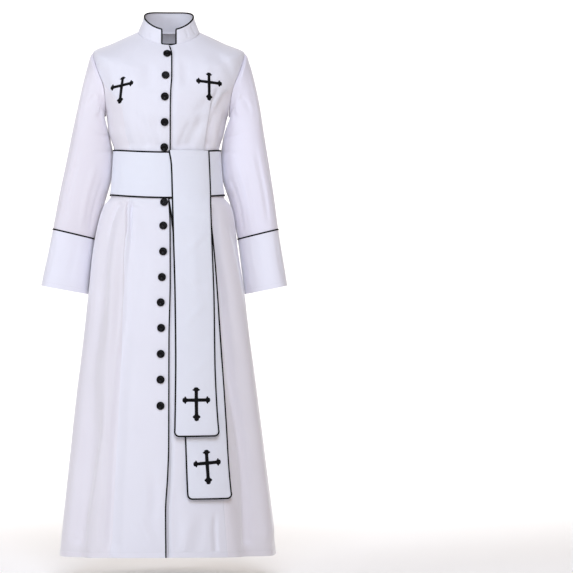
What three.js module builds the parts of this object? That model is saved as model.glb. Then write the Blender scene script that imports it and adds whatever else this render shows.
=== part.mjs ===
// Cassock with a stand collar, deep cuffs, a wide waist band and two hanging sash ends,
// filled out as if worn. Every cut piece is a thin closed wall of cloth.
// Millimetres, +Z up. The front faces -Y and the wearer's left is +X. The origin lies on the
// centre line between the shoulders, just below where the shoulder seams meet the neck.

import * as THREE from 'three';

// ---- Driving dimensions -----------------------------------------------------------------

const clothWall = 2;
const seamGap = 0.3;
const collarGap = 0.8;          // between the collar and the neck edge
const pipingRadius = 1.4;
const pipingSides = 6;
const pipingReach = pipingRadius + seamGap;
const pipingDepth = -1.1;       // of the front edge's piping, from the cloth's face

const neckDrop = -5;            // heights are drops below the origin
const shoulderDrop = 48;        // shoulder tip
const underarmDrop = 215;
const princessDrop = 128;       // where the princess seams leave the armhole
const hemDrop = 1372;

const underlap = 31;            // how far the left front reaches under the right one
const underlapDepth = 2.9;      // how far the left front is pressed in there
const underlapEase = [4, 19];   // past the right front's edge, where it comes back out

const bandStandOff = 1.2;
const bandWall = 2.2;
const backTailStandOff = 1;
const frontTailStandOff = 4.55;
const tailCorner = 10;
const appliqueStandOff = 0.5;
const appliqueWall = 1;

const buttonRadius = 9.8;
// Degrees from the outer edge of the sleeve, negative towards the back.
const cuffButtonAngles = { right: -72, left: -60 };

const black = 0x08080a;
const cloth = { color: 0xe9e6ee, roughness: 0.8, metalness: 0 };
const cord = { color: black, roughness: 0.6, metalness: 0 };
const horn = { color: black, roughness: 0.3, metalness: 0 };

// ---- Tables of sections -------------------------------------------------------------------

function table(names, ...rows) {
  return rows.map((row) => Object.fromEntries(names.map((name, i) => [name, row[i]])));
}

// The body, as rings round the figure. drop is the depth of a ring's side points below the
// origin; frontDrop and backDrop are how much lower its front and back centres lie.
const bodyRings = table(
  ['drop', 'frontDrop', 'backDrop', 'halfWidth', 'front', 'back', 'square', 'shift'],
  [-5, 38, -3, 82, 62, 55, 0, 0],
  [5, 46, 0, 105, 76, 66, 0.01, 0],
  [24, 52, 8, 147, 90, 80, 0.03, 0],
  [48, 58, 24, 200, 103, 92, 0.05, 0],
  [90, 46, 24, 197, 112, 101, 0.06, 0],
  [140, 28, 14, 184.5, 118, 106, 0.06, -1],
  [215, 0, 0, 161, 119, 106, 0.05, -4],
  [265, 0, 0, 152, 110, 99, 0.05, -6],
  [308, 0, 0, 139.5, 100, 92, 0.04, -5],
  [360, 0, 0, 142, 98, 91, 0.04, -5],
  [431, 0, 0, 149.8, 103.5, 97.4, 0.04, -4],
  [442, 0, 0, 159, 104.8, 100, 0.04, -4],
  [454, 0, 0, 168, 108, 108, 0.04, -4],
  [500, 0, 0, 182, 119, 120, 0.03, -5],
  [575, 0, 0, 194, 129, 132, 0.03, -7],
  [690, 0, 0, 208, 141, 149, 0.02, -5],
  [900, 0, 0, 230, 166, 176, 0.02, -5],
  [1097, 0, 0, 253, 192, 203, 0.01, -5],
  [1372, -13, -14, 286, 226, 240, 0, -2],
);

// Seams that run down the body, as angles from the centre front or the centre back.
const princessSeams = table(
  ['drop', 'front', 'back'],
  [128, 62.6, 62.6],
  [150, 53, 53],
  [175, 46.5, 45],
  [207, 43, 39],
  [308, 43, 38],
  [435, 38, 33.5],
  [525, 33, 33],
  [700, 32.5, 32],
  [900, 32.5, 29],
  [1372, 32.5, 29],
);

// Folds of the skirt, each from the drop where it starts to the one where it is full.
// Angles run from the centre front, positive to the wearer's left. depth is at the hem,
// negative where the fold is a valley.
const skirtFolds = table(
  ['start', 'full', 'topAngle', 'hemAngle', 'halfSpread', 'depth'],
  [470, 1000, 40, 50, 14, -17],
  [444, 900, 66, 68, 12, 7],
  [450, 1000, 112, 110, 13, 6],
  [444, 900, 136, 134, 13, -11],
  [450, 1000, 166, 167, 12, -7],
  [444, 900, -34, -34, 11, -6],
  [444, 800, -61, -55, 12, -10],
  [450, 1000, -76, -74, 11, 5],
  [450, 1000, -112, -110, 13, 5],
  [470, 900, -134, -134, 14, -16],
  [450, 1000, -162, -163, 11, -6],
);

// The closing edge of the right front.
const closingLine = table(
  ['drop', 'x'],
  [-5, -1],
  [10, 5.5],
  [60, 5.5],
  [120, 3],
  [215, 1.7],
  [308, 1.5],
  [435, -2],
  [500, 1],
  [650, 1.5],
  [806, -1.7],
  [1073, -2.5],
  [1150, -5],
  [1250, -10.5],
  [1372, -9.5],
);

// The stand collar, from its top edge (fall 0) to the neck seam (fall 1).
const collarRings = table(
  ['fall', 'frontRise', 'sideRise', 'backRise', 'halfWidth', 'front', 'back'],
  [0, 5, 46, 61, 66, 56, 46],
  [0.5, -14, 25, 35, 73.5, 59, 50.5],
  [1, -33, 5, 8, 82, 62, 55],
);
const collarNotch = 20.5;       // half the open notch at the centre front

// Sleeve and cuff, as tilted ovals between an outer and an inner point. Left and right are
// distances from the centre line. centreY is behind the shoulder seam, towards the back.
const cuffSeamRing = 8;
const cuffHemRing = 10;
const sleeveRings = table(
  ['ring', 'outerDrop', 'outerLeft', 'outerRight', 'innerDrop', 'innerLeft', 'innerRight',
    'centreY', 'halfDepth'],
  [1, 60, 209, 208, 221, 161, 169, 2, 60],
  [2, 92, 219, 217, 233, 157, 166.5, 5, 63],
  [3, 140, 231, 229, 251, 152, 163.5, 8, 65],
  [4, 195, 242, 241, 280, 146, 157.5, 12, 65],
  [5, 255, 251, 254, 318, 142.5, 152, 15, 64],
  [6, 335, 264, 270, 372, 145, 155, 17, 63],
  [7, 425, 278, 289, 456, 169, 177, 18, 61],
  [8, 515, 290, 306, 541, 186.5, 199, 15, 57],
  [9, 590, 302, 321, 614, 196, 209.5, 14, 59],
  [10, 664, 314, 337, 687, 205.5, 217, 12, 62],
);

// The sash ends, by the x of their two long edges.
const frontTailEdges = table(
  ['drop', 'left', 'right'],
  [311, 2, 99],
  [350, 8, 101],
  [430, 10.5, 104],
  [545, 13.5, 107.5],
  [700, 17.5, 113],
  [860, 19, 115],
  [960, 18, 118.5],
  [1051, 16, 122],
);
const backTailEdges = table(
  ['drop', 'left', 'right'],
  [440, 1.5, 99],
  [482, 8, 105],
  [600, 20, 117],
  [800, 32, 131],
  [1050, 44, 147],
  [1214, 49, 155],
);

// Front buttons, by height and distance from the centre line. standOff is from the cloth,
// and larger where the waist curves in under the button.
const frontButtons = table(
  ['z', 'x', 'standOff'],
  [-58.5, -4.5, 0.4],
  [-117, -8.5, 0.3],
  [-173, -10.5, 0.3],
  [-239, -11, 0.4],
  [-303.5, -12, 0.9],
  [-447.5, -12.5, 0.8],
  [-508.5, -14.5, 0.3],
  [-575.5, -15, 0.3],
  [-642, -18, 0.3],
  [-707.5, -21, 0.3],
  [-773.5, -20, 0.3],
  [-840.5, -21, 0.3],
  [-906.5, -21.5, 0.3],
  [-973.5, -21.5, 0.3],
);
const cuffButtonRings = [8.35, 8.98, 9.6];

// Applique crosses: centre, reach of each arm, and how far the upright and the bar turn.
const crosses = table(
  ['name', 'x', 'z', 'above', 'below', 'arm', 'stem', 'lean', 'tilt'],
  ['cross_chest_right', -122.5, -143, 23, 47, 31, 4, 7, 11],
  ['cross_chest_left', 104.5, -134, 25, 48, 34, 4, -1, -6],
  ['cross_tail_front', 69, -960, 33, 54, 35, 4.7, 0, 0],
  ['cross_tail_back', 97, -1121, 34, 54.5, 35, 4.7, -3, 4],
);

// ---- Interpolation and closed walls -------------------------------------------------------

const degrees = Math.PI / 180;
const { lerp, clamp, smoothstep } = THREE.MathUtils;

// A column of a table at any place between its rows, on a smooth curve that never overshoots.
function columnAt(rows, key, name, place) {
  const last = rows.length - 1;
  const secant = (k) => (rows[k + 1][name] - rows[k][name]) / (rows[k + 1][key] - rows[k][key]);
  const slope = (k) => {
    if (k === 0) return secant(0);
    if (k === last) return secant(last - 1);
    const before = secant(k - 1);
    const after = secant(k);
    return before * after > 0 ? (2 * before * after) / (before + after) : 0;
  };
  let i = 0;
  while (i < last - 1 && place > rows[i + 1][key]) i += 1;
  const span = rows[i + 1][key] - rows[i][key];
  const t = (place - rows[i][key]) / span;
  const ease = t * t * (3 - 2 * t);
  return lerp(rows[i][name], rows[i + 1][name], ease)
    + span * t * (1 - t) * ((1 - t) * slope(i) - t * slope(i + 1));
}

// The place between low and high where a rising function reaches a target.
function solve(rising, target, low, high) {
  for (let i = 0; i < 24; i += 1) {
    const middle = (low + high) / 2;
    if (rising(middle) < target) low = middle;
    else high = middle;
  }
  return (low + high) / 2;
}

// A smooth curve over -1 to 1 that is 0 in the middle and reaches two given end values.
function dished(place, atOne, atMinusOne) {
  return (place * (atOne - atMinusOne)) / 2 + (place * place * (atOne + atMinusOne)) / 2;
}

function normalOf(surface, u, v, stepV, lowV, highV) {
  const across = surface(u + 0.5, v).sub(surface(u - 0.5, v));
  const lower = surface(u, Math.min(v + stepV, highV));
  const down = lower.sub(surface(u, Math.max(v - stepV, lowV)));
  return down.cross(across).normalize();
}

// A closed body from points and triangles, with its faces turned outwards.
function closedBody(points, triangles) {
  let volume = 0;
  for (const [a, b, c] of triangles) {
    volume += points[a].dot(new THREE.Vector3().crossVectors(points[b], points[c]));
  }
  const outward = volume > 0 ? triangles : triangles.map(([a, b, c]) => [a, c, b]);
  const geometry = new THREE.BufferGeometry();
  geometry.setAttribute('position', new THREE.Float32BufferAttribute(
    points.flatMap((point) => point.toArray()), 3));
  geometry.setIndex(outward.flat());
  geometry.computeVertexNormals();
  return geometry;
}

// A wall between two grids of points with the same rows and columns.
function wall(outer, inner, looped = false) {
  const rows = outer.length;
  const columns = outer[0].length;
  const strips = looped ? columns : columns - 1;
  const front = (row, column) => row * columns + (column % columns);
  const behind = (row, column) => rows * columns + front(row, column);
  const triangles = [];
  const quad = (a, b, c, d) => triangles.push([a, b, c], [a, c, d]);
  for (let column = 0; column < strips; column += 1) {
    const next = column + 1;
    for (let row = 0; row < rows - 1; row += 1) {
      quad(front(row, column), front(row, next), front(row + 1, next), front(row + 1, column));
      triangles.push([behind(row, column), behind(row + 1, next), behind(row, next)]);
      triangles.push([behind(row, column), behind(row + 1, column), behind(row + 1, next)]);
    }
    const end = rows - 1;
    quad(front(0, next), front(0, column), behind(0, column), behind(0, next));
    quad(front(end, column), front(end, next), behind(end, next), behind(end, column));
  }
  if (!looped) {
    const side = columns - 1;
    for (let row = 0; row < rows - 1; row += 1) {
      quad(front(row, 0), front(row + 1, 0), behind(row + 1, 0), behind(row, 0));
      quad(front(row + 1, side), front(row, side), behind(row, side), behind(row + 1, side));
    }
  }
  return closedBody([...outer.flat(), ...inner.flat()], triangles);
}

// Piping: a round cord through stations, each a point and the direction off the cloth.
function pipe(stations, closed = false) {
  const count = stations.length;
  const points = [];
  stations.forEach(({ point, away }, i) => {
    const before = stations[closed ? (i + count - 1) % count : Math.max(i - 1, 0)].point;
    const after = stations[closed ? (i + 1) % count : Math.min(i + 1, count - 1)].point;
    const along = after.clone().sub(before).normalize();
    const sideways = new THREE.Vector3().crossVectors(along, away).normalize();
    const up = new THREE.Vector3().crossVectors(sideways, along);
    for (let k = 0; k < pipingSides; k += 1) {
      const turn = (k / pipingSides) * 2 * Math.PI;
      points.push(point.clone()
        .addScaledVector(up, pipingRadius * Math.cos(turn))
        .addScaledVector(sideways, pipingRadius * Math.sin(turn)));
    }
  });
  const triangles = [];
  const at = (station, side) => (station % count) * pipingSides + (side % pipingSides);
  for (let station = 0; station < (closed ? count : count - 1); station += 1) {
    for (let side = 0; side < pipingSides; side += 1) {
      const corner = at(station + 1, side + 1);
      triangles.push([at(station, side), at(station, side + 1), corner]);
      triangles.push([at(station, side), corner, at(station + 1, side)]);
    }
  }
  if (!closed) {
    for (let side = 1; side < pipingSides - 1; side += 1) {
      triangles.push([at(0, 0), at(0, side + 1), at(0, side)]);
      triangles.push([at(count - 1, 0), at(count - 1, side), at(count - 1, side + 1)]);
    }
  }
  return closedBody(points, triangles);
}

// A flat shape of four-sided cells laid on a surface and given a thickness.
function applique(corners, cells, place, low, high) {
  const points = [
    ...corners.map(([a, b]) => place(a, b, high)),
    ...corners.map(([a, b]) => place(a, b, low)),
  ];
  const under = corners.length;
  const triangles = [];
  const edges = new Map();
  for (const cell of cells) {
    const [a, b, c, d] = cell;
    triangles.push([a, b, c], [a, c, d]);
    triangles.push([a + under, c + under, b + under], [a + under, d + under, c + under]);
    cell.forEach((corner, i) => edges.set(`${corner} ${cell[(i + 1) % 4]}`, [corner, cell[(i + 1) % 4]]));
  }
  for (const [a, b] of edges.values()) {
    if (!edges.has(`${b} ${a}`)) triangles.push([b, a, a + under], [b, a + under, b + under]);
  }
  return closedBody(points, triangles);
}

// ---- The figure's surface -------------------------------------------------------------------

function foldDepth(angle, drop) {
  let depth = 0;
  for (const fold of skirtFolds) {
    const way = (drop - fold.start) / (hemDrop - fold.start);
    const centre = lerp(fold.topAngle, fold.hemAngle, clamp(way, 0, 1));
    const aside = Math.abs(((angle - centre + 540) % 360) - 180) / fold.halfSpread;
    if (aside < 1) {
      const growth = smoothstep(drop, fold.start, fold.full) * lerp(0.7, 1, clamp(way, 0, 1));
      depth += fold.depth * growth * (0.5 + 0.5 * Math.cos(Math.PI * aside));
    }
  }
  return depth;
}

function bodySurface(angle, drop, folded = true) {
  const ring = (name) => columnAt(bodyRings, 'drop', name, drop);
  const turn = angle * degrees;
  const inFront = Math.cos(turn) > 0;
  const square = ring('square') * Math.sin(2 * turn);
  const fold = folded ? foldDepth(angle, drop) : 0;
  return new THREE.Vector3(
    ring('shift') + ring('halfWidth') * Math.sin(turn + square) + fold * Math.sin(turn),
    -ring(inFront ? 'front' : 'back') * Math.cos(turn - square) - fold * Math.cos(turn),
    -drop - dished(Math.cos(turn), ring('frontDrop'), ring('backDrop')),
  );
}

const bodyNormal = (angle, drop) => normalOf(bodySurface, angle, drop, 2, neckDrop, hemDrop);

function bodyPoint(angle, drop, out = 0) {
  return bodySurface(angle, drop).addScaledVector(bodyNormal(angle, drop), out);
}

// The same without the folds, for what hangs across them.
const smoothSurface = (angle, drop) => bodySurface(angle, drop, false);
const smoothNormal = (angle, drop) => normalOf(smoothSurface, angle, drop, 2, neckDrop, hemDrop);

function smoothPoint(angle, drop, out) {
  return smoothSurface(angle, drop).addScaledVector(smoothNormal(angle, drop), out);
}

// The angle, in front, at which a ring stands at a given x.
const frontAngle = (x, drop) => solve((angle) => smoothSurface(angle, drop).x, x, -89, 89);

// A point on the front, clear of the folds, by its x and z.
function frontPoint(x, z, out) {
  const height = (drop) => -smoothSurface(frontAngle(x, drop), drop).z;
  const drop = solve(height, -z, neckDrop, hemDrop);
  return smoothPoint(frontAngle(x, drop), drop, out);
}

// The armhole, as the angle of its front edge from the centre front.
function armholeAngle(drop) {
  const way = clamp((drop - shoulderDrop) / (underarmDrop - shoulderDrop), 0, 1);
  return 90 - 26 * Math.sin(Math.PI * way) ** 0.7;
}

// ---- Body panels ----------------------------------------------------------------------------

const neckRows = [neckDrop, 5, 18, 32];
const armholeRows = [48, 52, 60, 74, 97, 124, 128, 150, 172, 195, 208, 213, 215];
const skirtRows = [240, 265, 288, 308, 360, 431, 442, 454, 480, 508, 550, 620, 740, 890, 1050,
  1210, hemDrop];
const panelRows = [...neckRows, ...armholeRows, ...skirtRows];
const centreRows = panelRows.filter((drop) => drop !== 213);

// Moves a seam line sideways along the cloth by a distance.
function insetAngle(angle, drop, distance) {
  const reach = bodySurface(angle + 0.5, drop).distanceTo(bodySurface(angle - 0.5, drop));
  return angle + distance / reach;
}

// Evenly spread angles from one line to another, both included.
const spread = (from, to, steps) => Array.from({ length: steps + 1 }, (_, i) => (
  lerp(from, to, i / steps)));

// A panel whose lines(drop) are the angles of its lengthwise lines, seams included. press
// gives how far the cloth is pressed in at an x and drop.
function bodyPanel(rows, lines, press = () => 0) {
  const grid = (out) => rows.map((drop) => lines(drop).map((angle) => (
    bodyPoint(angle, drop, out - press(bodySurface(angle, drop).x, drop)))));
  return wall(grid(0), grid(-clothWall));
}

// The outer edge of a centre panel: shoulder seam, armhole, then princess seam.
function centrePanelEdge(drop, seam) {
  if (drop < shoulderDrop) return insetAngle(90, drop, -seamGap / 2);
  if (drop < princessDrop) return armholeAngle(drop);
  return insetAngle(columnAt(princessSeams, 'drop', seam, drop), drop, -seamGap / 2);
}

// A side panel starts at the armhole with a narrow tip and ends at the side seam.
const sidePanelRows = panelRows.filter((drop) => drop >= princessDrop);
function sidePanelEdge(drop) {
  return drop < underarmDrop ? armholeAngle(drop) : insetAngle(90, drop, -seamGap / 2);
}
function princessEdge(drop, seam) {
  return insetAngle(columnAt(princessSeams, 'drop', seam, drop), drop, seamGap / 2);
}

const closingEdge = (drop) => columnAt(closingLine, 'drop', 'x', drop);

// The fronts share their lines where one lies over the other, so they stay parallel.
const sharedLines = [-underlap, -underlap / 2, 0];

function frontPanel(side) {
  const seam = (drop) => side * centrePanelEdge(drop, 'front');
  const past = (distances, drop) => distances.map((distance) => (
    frontAngle(closingEdge(drop) + distance, drop)));
  const own = side < 0 ? [...sharedLines].reverse() : [...sharedLines, ...underlapEase];
  const press = (x, drop) => (
    underlapDepth * (1 - smoothstep(x - closingEdge(drop), ...underlapEase)));
  return bodyPanel(centreRows, (drop) => {
    const lines = past(own, drop);
    return [...lines, ...spread(lines.at(-1), seam(drop), 4).slice(1)];
  }, side < 0 ? undefined : press);
}

const fromBack = (angle, side) => side * (180 - angle);

function backPanel(side) {
  return bodyPanel(centreRows, (drop) => spread(
    fromBack(insetAngle(0, drop, seamGap / 2), side),
    fromBack(centrePanelEdge(drop, 'back'), side),
    5,
  ));
}

function sideFrontPanel(side) {
  return bodyPanel(sidePanelRows, (drop) => spread(
    side * princessEdge(drop, 'front'),
    side * sidePanelEdge(drop),
    6,
  ));
}

function sideBackPanel(side) {
  return bodyPanel(sidePanelRows, (drop) => spread(
    fromBack(princessEdge(drop, 'back'), side),
    fromBack(sidePanelEdge(drop), side),
    6,
  ));
}

// ---- Collar ---------------------------------------------------------------------------------

function collarSurface(angle, fall) {
  const ring = (name) => columnAt(collarRings, 'fall', name, fall);
  const turn = angle * degrees;
  const inFront = Math.cos(turn) > 0;
  const side = ring('sideRise');
  return new THREE.Vector3(
    ring('halfWidth') * Math.sin(turn),
    -ring(inFront ? 'front' : 'back') * Math.cos(turn),
    side + dished(Math.cos(turn), ring('frontRise') - side, ring('backRise') - side),
  );
}

const collarNormal = (angle, fall) => normalOf(collarSurface, angle, fall, 0.05, 0, 1);

// The direction in the cloth that leads off its upper edge, at the neck.
function offNeckEdge(angle) {
  return bodySurface(angle, neckDrop).sub(bodySurface(angle, neckDrop + 2)).normalize();
}

const collarEnd = (fall) => solve((angle) => collarSurface(angle, fall).x, collarNotch, 0, 60);

function collar() {
  const falls = [0, 0.5, 1];
  const columns = 30;
  const grid = (out) => falls.map((fall) => {
    const end = collarEnd(fall);
    return Array.from({ length: columns + 1 }, (_, i) => {
      const angle = lerp(end, 360 - end, i / columns);
      const point = collarSurface(angle, fall).addScaledVector(collarNormal(angle, fall), out);
      return fall === 1 ? point.addScaledVector(offNeckEdge(angle), collarGap) : point;
    });
  });
  return wall(grid(0), grid(-clothWall));
}

// One cord runs round the top edge, down both sides of the notch and along its foot.
function collarPiping() {
  const stations = [];
  const onCollar = (angle, fall, acrossEdge, aboveEdge) => {
    const away = collarNormal(angle, fall);
    const point = collarSurface(angle, fall).addScaledVector(away, -clothWall / 2);
    point.x += acrossEdge;
    const up = collarSurface(angle, 0).sub(collarSurface(angle, 0.05)).normalize();
    return { point: point.addScaledVector(up, aboveEdge), away };
  };
  const topCount = 30;
  const corner = pipingReach * 0.75;
  const topEnd = collarEnd(0) + 1.5;
  for (let i = 0; i <= topCount; i += 1) {
    stations.push(onCollar(lerp(topEnd, 360 - topEnd, i / topCount), 0, 0, pipingReach));
  }
  stations.push(onCollar(-collarEnd(0), 0, corner, corner));
  for (const fall of [0.04, 0.5, 0.9]) {
    stations.push(onCollar(-collarEnd(fall), fall, pipingReach, 0));
  }
  for (const x of [-14, 0, 14]) {
    const angle = frontAngle(x, neckDrop);
    const point = bodyPoint(angle, neckDrop, -clothWall / 2);
    stations.push({
      point: point.addScaledVector(offNeckEdge(angle), pipingReach),
      away: bodyNormal(angle, neckDrop),
    });
  }
  for (const fall of [0.9, 0.5, 0.04]) {
    stations.push(onCollar(collarEnd(fall), fall, -pipingReach, 0));
  }
  stations.push(onCollar(collarEnd(0), 0, -corner, corner));
  return pipe(stations, true);
}

function frontEdgePiping() {
  const rows = [neckDrop + 2, ...centreRows.slice(1)];
  return pipe(rows.map((drop) => {
    const angle = frontAngle(closingEdge(drop) + pipingReach, drop);
    return {
      point: bodyPoint(angle, drop, pipingDepth),
      away: bodyNormal(angle, drop),
    };
  }));
}

// ---- Sleeves and cuffs ------------------------------------------------------------------------

// phi runs round a sleeve: 0 at its outer edge, 90 in front, 180 at its inner edge.
function sleeveSurface(side, phi, ring) {
  const at = (name) => columnAt(sleeveRings, 'ring', name, ring);
  const hand = side > 0 ? 'Left' : 'Right';
  const outer = new THREE.Vector3(side * at(`outer${hand}`), at('centreY'), -at('outerDrop'));
  const inner = new THREE.Vector3(side * at(`inner${hand}`), at('centreY'), -at('innerDrop'));
  const turn = phi * degrees;
  const point = new THREE.Vector3().lerpVectors(outer, inner, (1 - Math.cos(turn)) / 2);
  point.y -= at('halfDepth') * Math.sin(turn);
  return point;
}

function sleeveNormal(side, phi, ring) {
  const surface = (u, v) => sleeveSurface(side, u, v);
  return normalOf(surface, phi, ring, 0.2, 1, cuffHemRing).multiplyScalar(-side);
}

// The armhole's edge at a drop, in front (facing 1) or behind (facing -1).
function armholePoint(side, facing, drop) {
  const angle = armholeAngle(drop);
  return bodySurface(facing > 0 ? side * angle : fromBack(angle, side), drop);
}

// The sleeve head: how its edge is placed and how its wall stands at an armhole row.
function sleeveHead(side, facing, drop) {
  const edge = armholePoint(side, facing, drop);
  const low = Math.max(drop - 1, shoulderDrop);
  const high = Math.min(drop + 1, underarmDrop);
  const along = armholePoint(side, facing, high).sub(armholePoint(side, facing, low));
  const angle = armholeAngle(drop);
  const away = bodyNormal(facing > 0 ? side * angle : fromBack(angle, side), drop);
  const middle = bodySurface(side * 90, (shoulderDrop + underarmDrop) / 2);
  const inward = along.cross(away).normalize();
  if (inward.dot(middle.sub(edge)) < 0) inward.negate();
  const way = (drop - shoulderDrop) / (underarmDrop - shoulderDrop);
  const under = Math.max(0, 2 * way - 1);
  const through = away.clone().addScaledVector(inward, -1.2 * under).normalize();
  return {
    phi: Math.acos(1 - 2 * way) / degrees,
    outer: edge.clone().addScaledVector(inward, seamGap),
    inner: edge.clone().addScaledVector(inward, seamGap).addScaledVector(through, -clothWall),
  };
}

function sleeve(side) {
  const heads = [
    ...armholeRows.map((drop) => sleeveHead(side, 1, drop)),
    ...armholeRows.slice(1, -1).reverse().map((drop) => {
      const head = sleeveHead(side, -1, drop);
      return { ...head, phi: 360 - head.phi };
    }),
  ];
  const rings = [1, 2, 3, 4, 5, 6, 7, cuffSeamRing - 0.02];
  const grid = (out) => rings.map((ring) => heads.map(({ phi }) => (
    sleeveSurface(side, phi, ring).addScaledVector(sleeveNormal(side, phi, ring), out))));
  const outer = [heads.map((head) => head.outer), ...grid(0)];
  const inner = [heads.map((head) => head.inner), ...grid(-clothWall)];
  return wall(outer, inner, true);
}

const cuffColumns = 20;

function cuff(side) {
  const rings = [cuffSeamRing + 0.02, 9, cuffHemRing];
  const grid = (out) => rings.map((ring) => Array.from({ length: cuffColumns }, (_, i) => {
    const phi = (i / cuffColumns) * 360;
    return sleeveSurface(side, phi, ring).addScaledVector(sleeveNormal(side, phi, ring), out);
  }));
  return wall(grid(0), grid(-clothWall), true);
}

function cuffPiping(side) {
  return pipe(Array.from({ length: cuffColumns }, (_, i) => {
    const phi = (i / cuffColumns) * 360;
    const away = sleeveNormal(side, phi, cuffSeamRing);
    const point = sleeveSurface(side, phi, cuffSeamRing).addScaledVector(away, -clothWall / 2);
    return { point, away };
  }), true);
}

// ---- Waist band and sash ends -----------------------------------------------------------------

const bandColumns = 44;

function bandEdges(angle) {
  const turn = Math.cos(angle * degrees);
  const toCentre = turn * turn;
  return turn > 0
    ? { top: lerp(309.5, 318, toCentre), bottom: lerp(424, 433.4, toCentre) }
    : { top: lerp(309.5, 322, toCentre), bottom: lerp(424, 435, toCentre) };
}

function band() {
  const ways = [0, 0.4, 1];
  const grid = (out) => ways.map((way) => Array.from({ length: bandColumns }, (_, i) => {
    const angle = (i / bandColumns) * 360;
    const { top, bottom } = bandEdges(angle);
    return bodyPoint(angle, lerp(top, bottom, way), out);
  }));
  return wall(grid(bandStandOff + bandWall), grid(bandStandOff), true);
}

function bandPiping(edge) {
  const beyond = edge === 'top' ? -pipingReach : pipingReach;
  return pipe(Array.from({ length: bandColumns }, (_, i) => {
    const angle = (i / bandColumns) * 360;
    const drop = bandEdges(angle)[edge] + beyond;
    return {
      point: bodyPoint(angle, drop, bandStandOff + bandWall / 2),
      away: bodyNormal(angle, drop),
    };
  }), true);
}

// How far the long edges draw in at a distance above the rounded lower corners.
function cornerInset(aboveFoot, radius) {
  const reach = clamp(radius - aboveFoot, 0, radius);
  return radius - Math.sqrt(radius * radius - reach * reach);
}

const tailRows = (top, foot) => skirtRows.filter((drop) => (
  drop > top + 8 && drop < foot - 2 * tailCorner));

function tail(edges, standOff) {
  const top = edges[0].drop;
  const foot = edges.at(-1).drop;
  const rows = [top, ...tailRows(top, foot), foot - tailCorner, foot - 4, foot - 1, foot];
  const columns = 4;
  const grid = (out) => rows.map((drop) => {
    const inset = cornerInset(foot - drop, tailCorner);
    const left = columnAt(edges, 'drop', 'left', drop) + inset;
    const right = columnAt(edges, 'drop', 'right', drop) - inset;
    return Array.from({ length: columns + 1 }, (_, i) => (
      smoothPoint(frontAngle(lerp(left, right, i / columns), drop), drop, out)));
  });
  return wall(grid(standOff + clothWall), grid(standOff));
}

// Piping down one long edge, round the foot and up the other.
function tailPiping(edges, standOff) {
  const top = edges[0].drop;
  const foot = edges.at(-1).drop;
  const radius = tailCorner + pipingReach;
  const longRows = [top, ...tailRows(top, foot)];
  const edge = (name, drop) => columnAt(edges, 'drop', name, drop);
  const left = edge('left', foot) + tailCorner;
  const right = edge('right', foot) - tailCorner;
  const round = (centre, turn) => [
    centre - radius * Math.cos(turn * degrees),
    foot - tailCorner + radius * Math.sin(turn * degrees),
  ];
  const route = [
    ...longRows.map((drop) => [edge('left', drop) - pipingReach, drop]),
    ...[0, 30, 60, 90].map((turn) => round(left, turn)),
    [lerp(left, right, 1 / 3), foot + pipingReach],
    [lerp(left, right, 2 / 3), foot + pipingReach],
    ...[90, 120, 150, 180].map((turn) => round(right, turn)),
    ...longRows.reverse().map((drop) => [edge('right', drop) + pipingReach, drop]),
  ];
  return pipe(route.map(([x, drop]) => {
    const angle = frontAngle(x, drop);
    return {
      point: smoothPoint(angle, drop, standOff + clothWall / 2),
      away: smoothNormal(angle, drop),
    };
  }));
}

// ---- Buttons and crosses ------------------------------------------------------------------------

// A dished button: flat back, rounded rim and a sunk face, turned round its own +Y axis.
function buttonShape() {
  const profile = [[0, 0], [8, 0], [buttonRadius, 1.8], [8.8, 4], [6.4, 3], [0, 2.7]];
  return new THREE.LatheGeometry(profile.map(([r, y]) => new THREE.Vector2(r, y)), 10);
}

function placeButton(mesh, point, away, standOff) {
  mesh.position.copy(point).addScaledVector(away, standOff);
  mesh.quaternion.setFromUnitVectors(new THREE.Vector3(0, 1, 0), away);
  return mesh;
}

// One arm of a cross as half widths at shares of its length: a stem, then a three-pointed end.
const armOutline = table(
  ['way', 'half'],
  [0.45, 1],
  [0.72, 0.95],
  [0.78, 2.1],
  [0.86, 1.15],
  [1, 0.2],
);

function crossShape({ above, below, arm, stem }) {
  const corners = [[-stem, stem], [stem, stem], [stem, -stem], [-stem, -stem]];
  const cells = [[3, 2, 1, 0]];
  const arms = [
    { reach: above, along: [0, 1], start: [0, 1] },
    { reach: arm, along: [1, 0], start: [1, 2] },
    { reach: below, along: [0, -1], start: [2, 3] },
    { reach: arm, along: [-1, 0], start: [3, 0] },
  ];
  for (const { reach, along, start } of arms) {
    let [left, right] = start;
    for (const { way, half } of armOutline) {
      const far = lerp(stem, reach, way);
      const [alongA, alongB] = along;
      const wide = half * stem;
      const next = corners.length;
      corners.push([alongA * far - alongB * wide, alongB * far + alongA * wide]);
      corners.push([alongA * far + alongB * wide, alongB * far - alongA * wide]);
      cells.push([left, right, next + 1, next]);
      [left, right] = [next, next + 1];
    }
  }
  return { corners, cells };
}

function cross(row, standOff) {
  const { corners, cells } = crossShape(row);
  const lean = row.lean * degrees;
  const tilt = row.tilt * degrees;
  const place = (a, b, out) => frontPoint(
    row.x + a * Math.cos(tilt) + b * Math.sin(lean),
    row.z + a * Math.sin(tilt) + b * Math.cos(lean),
    out,
  );
  return applique(corners, cells, place, standOff, standOff + appliqueWall);
}

// ---- The cassock ----------------------------------------------------------------------------------

const cassock = new THREE.Group();

function add(name, geometry, finish) {
  const mesh = new THREE.Mesh(geometry, new THREE.MeshStandardMaterial(finish));
  mesh.name = name;
  cassock.add(mesh);
  return mesh;
}

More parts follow.
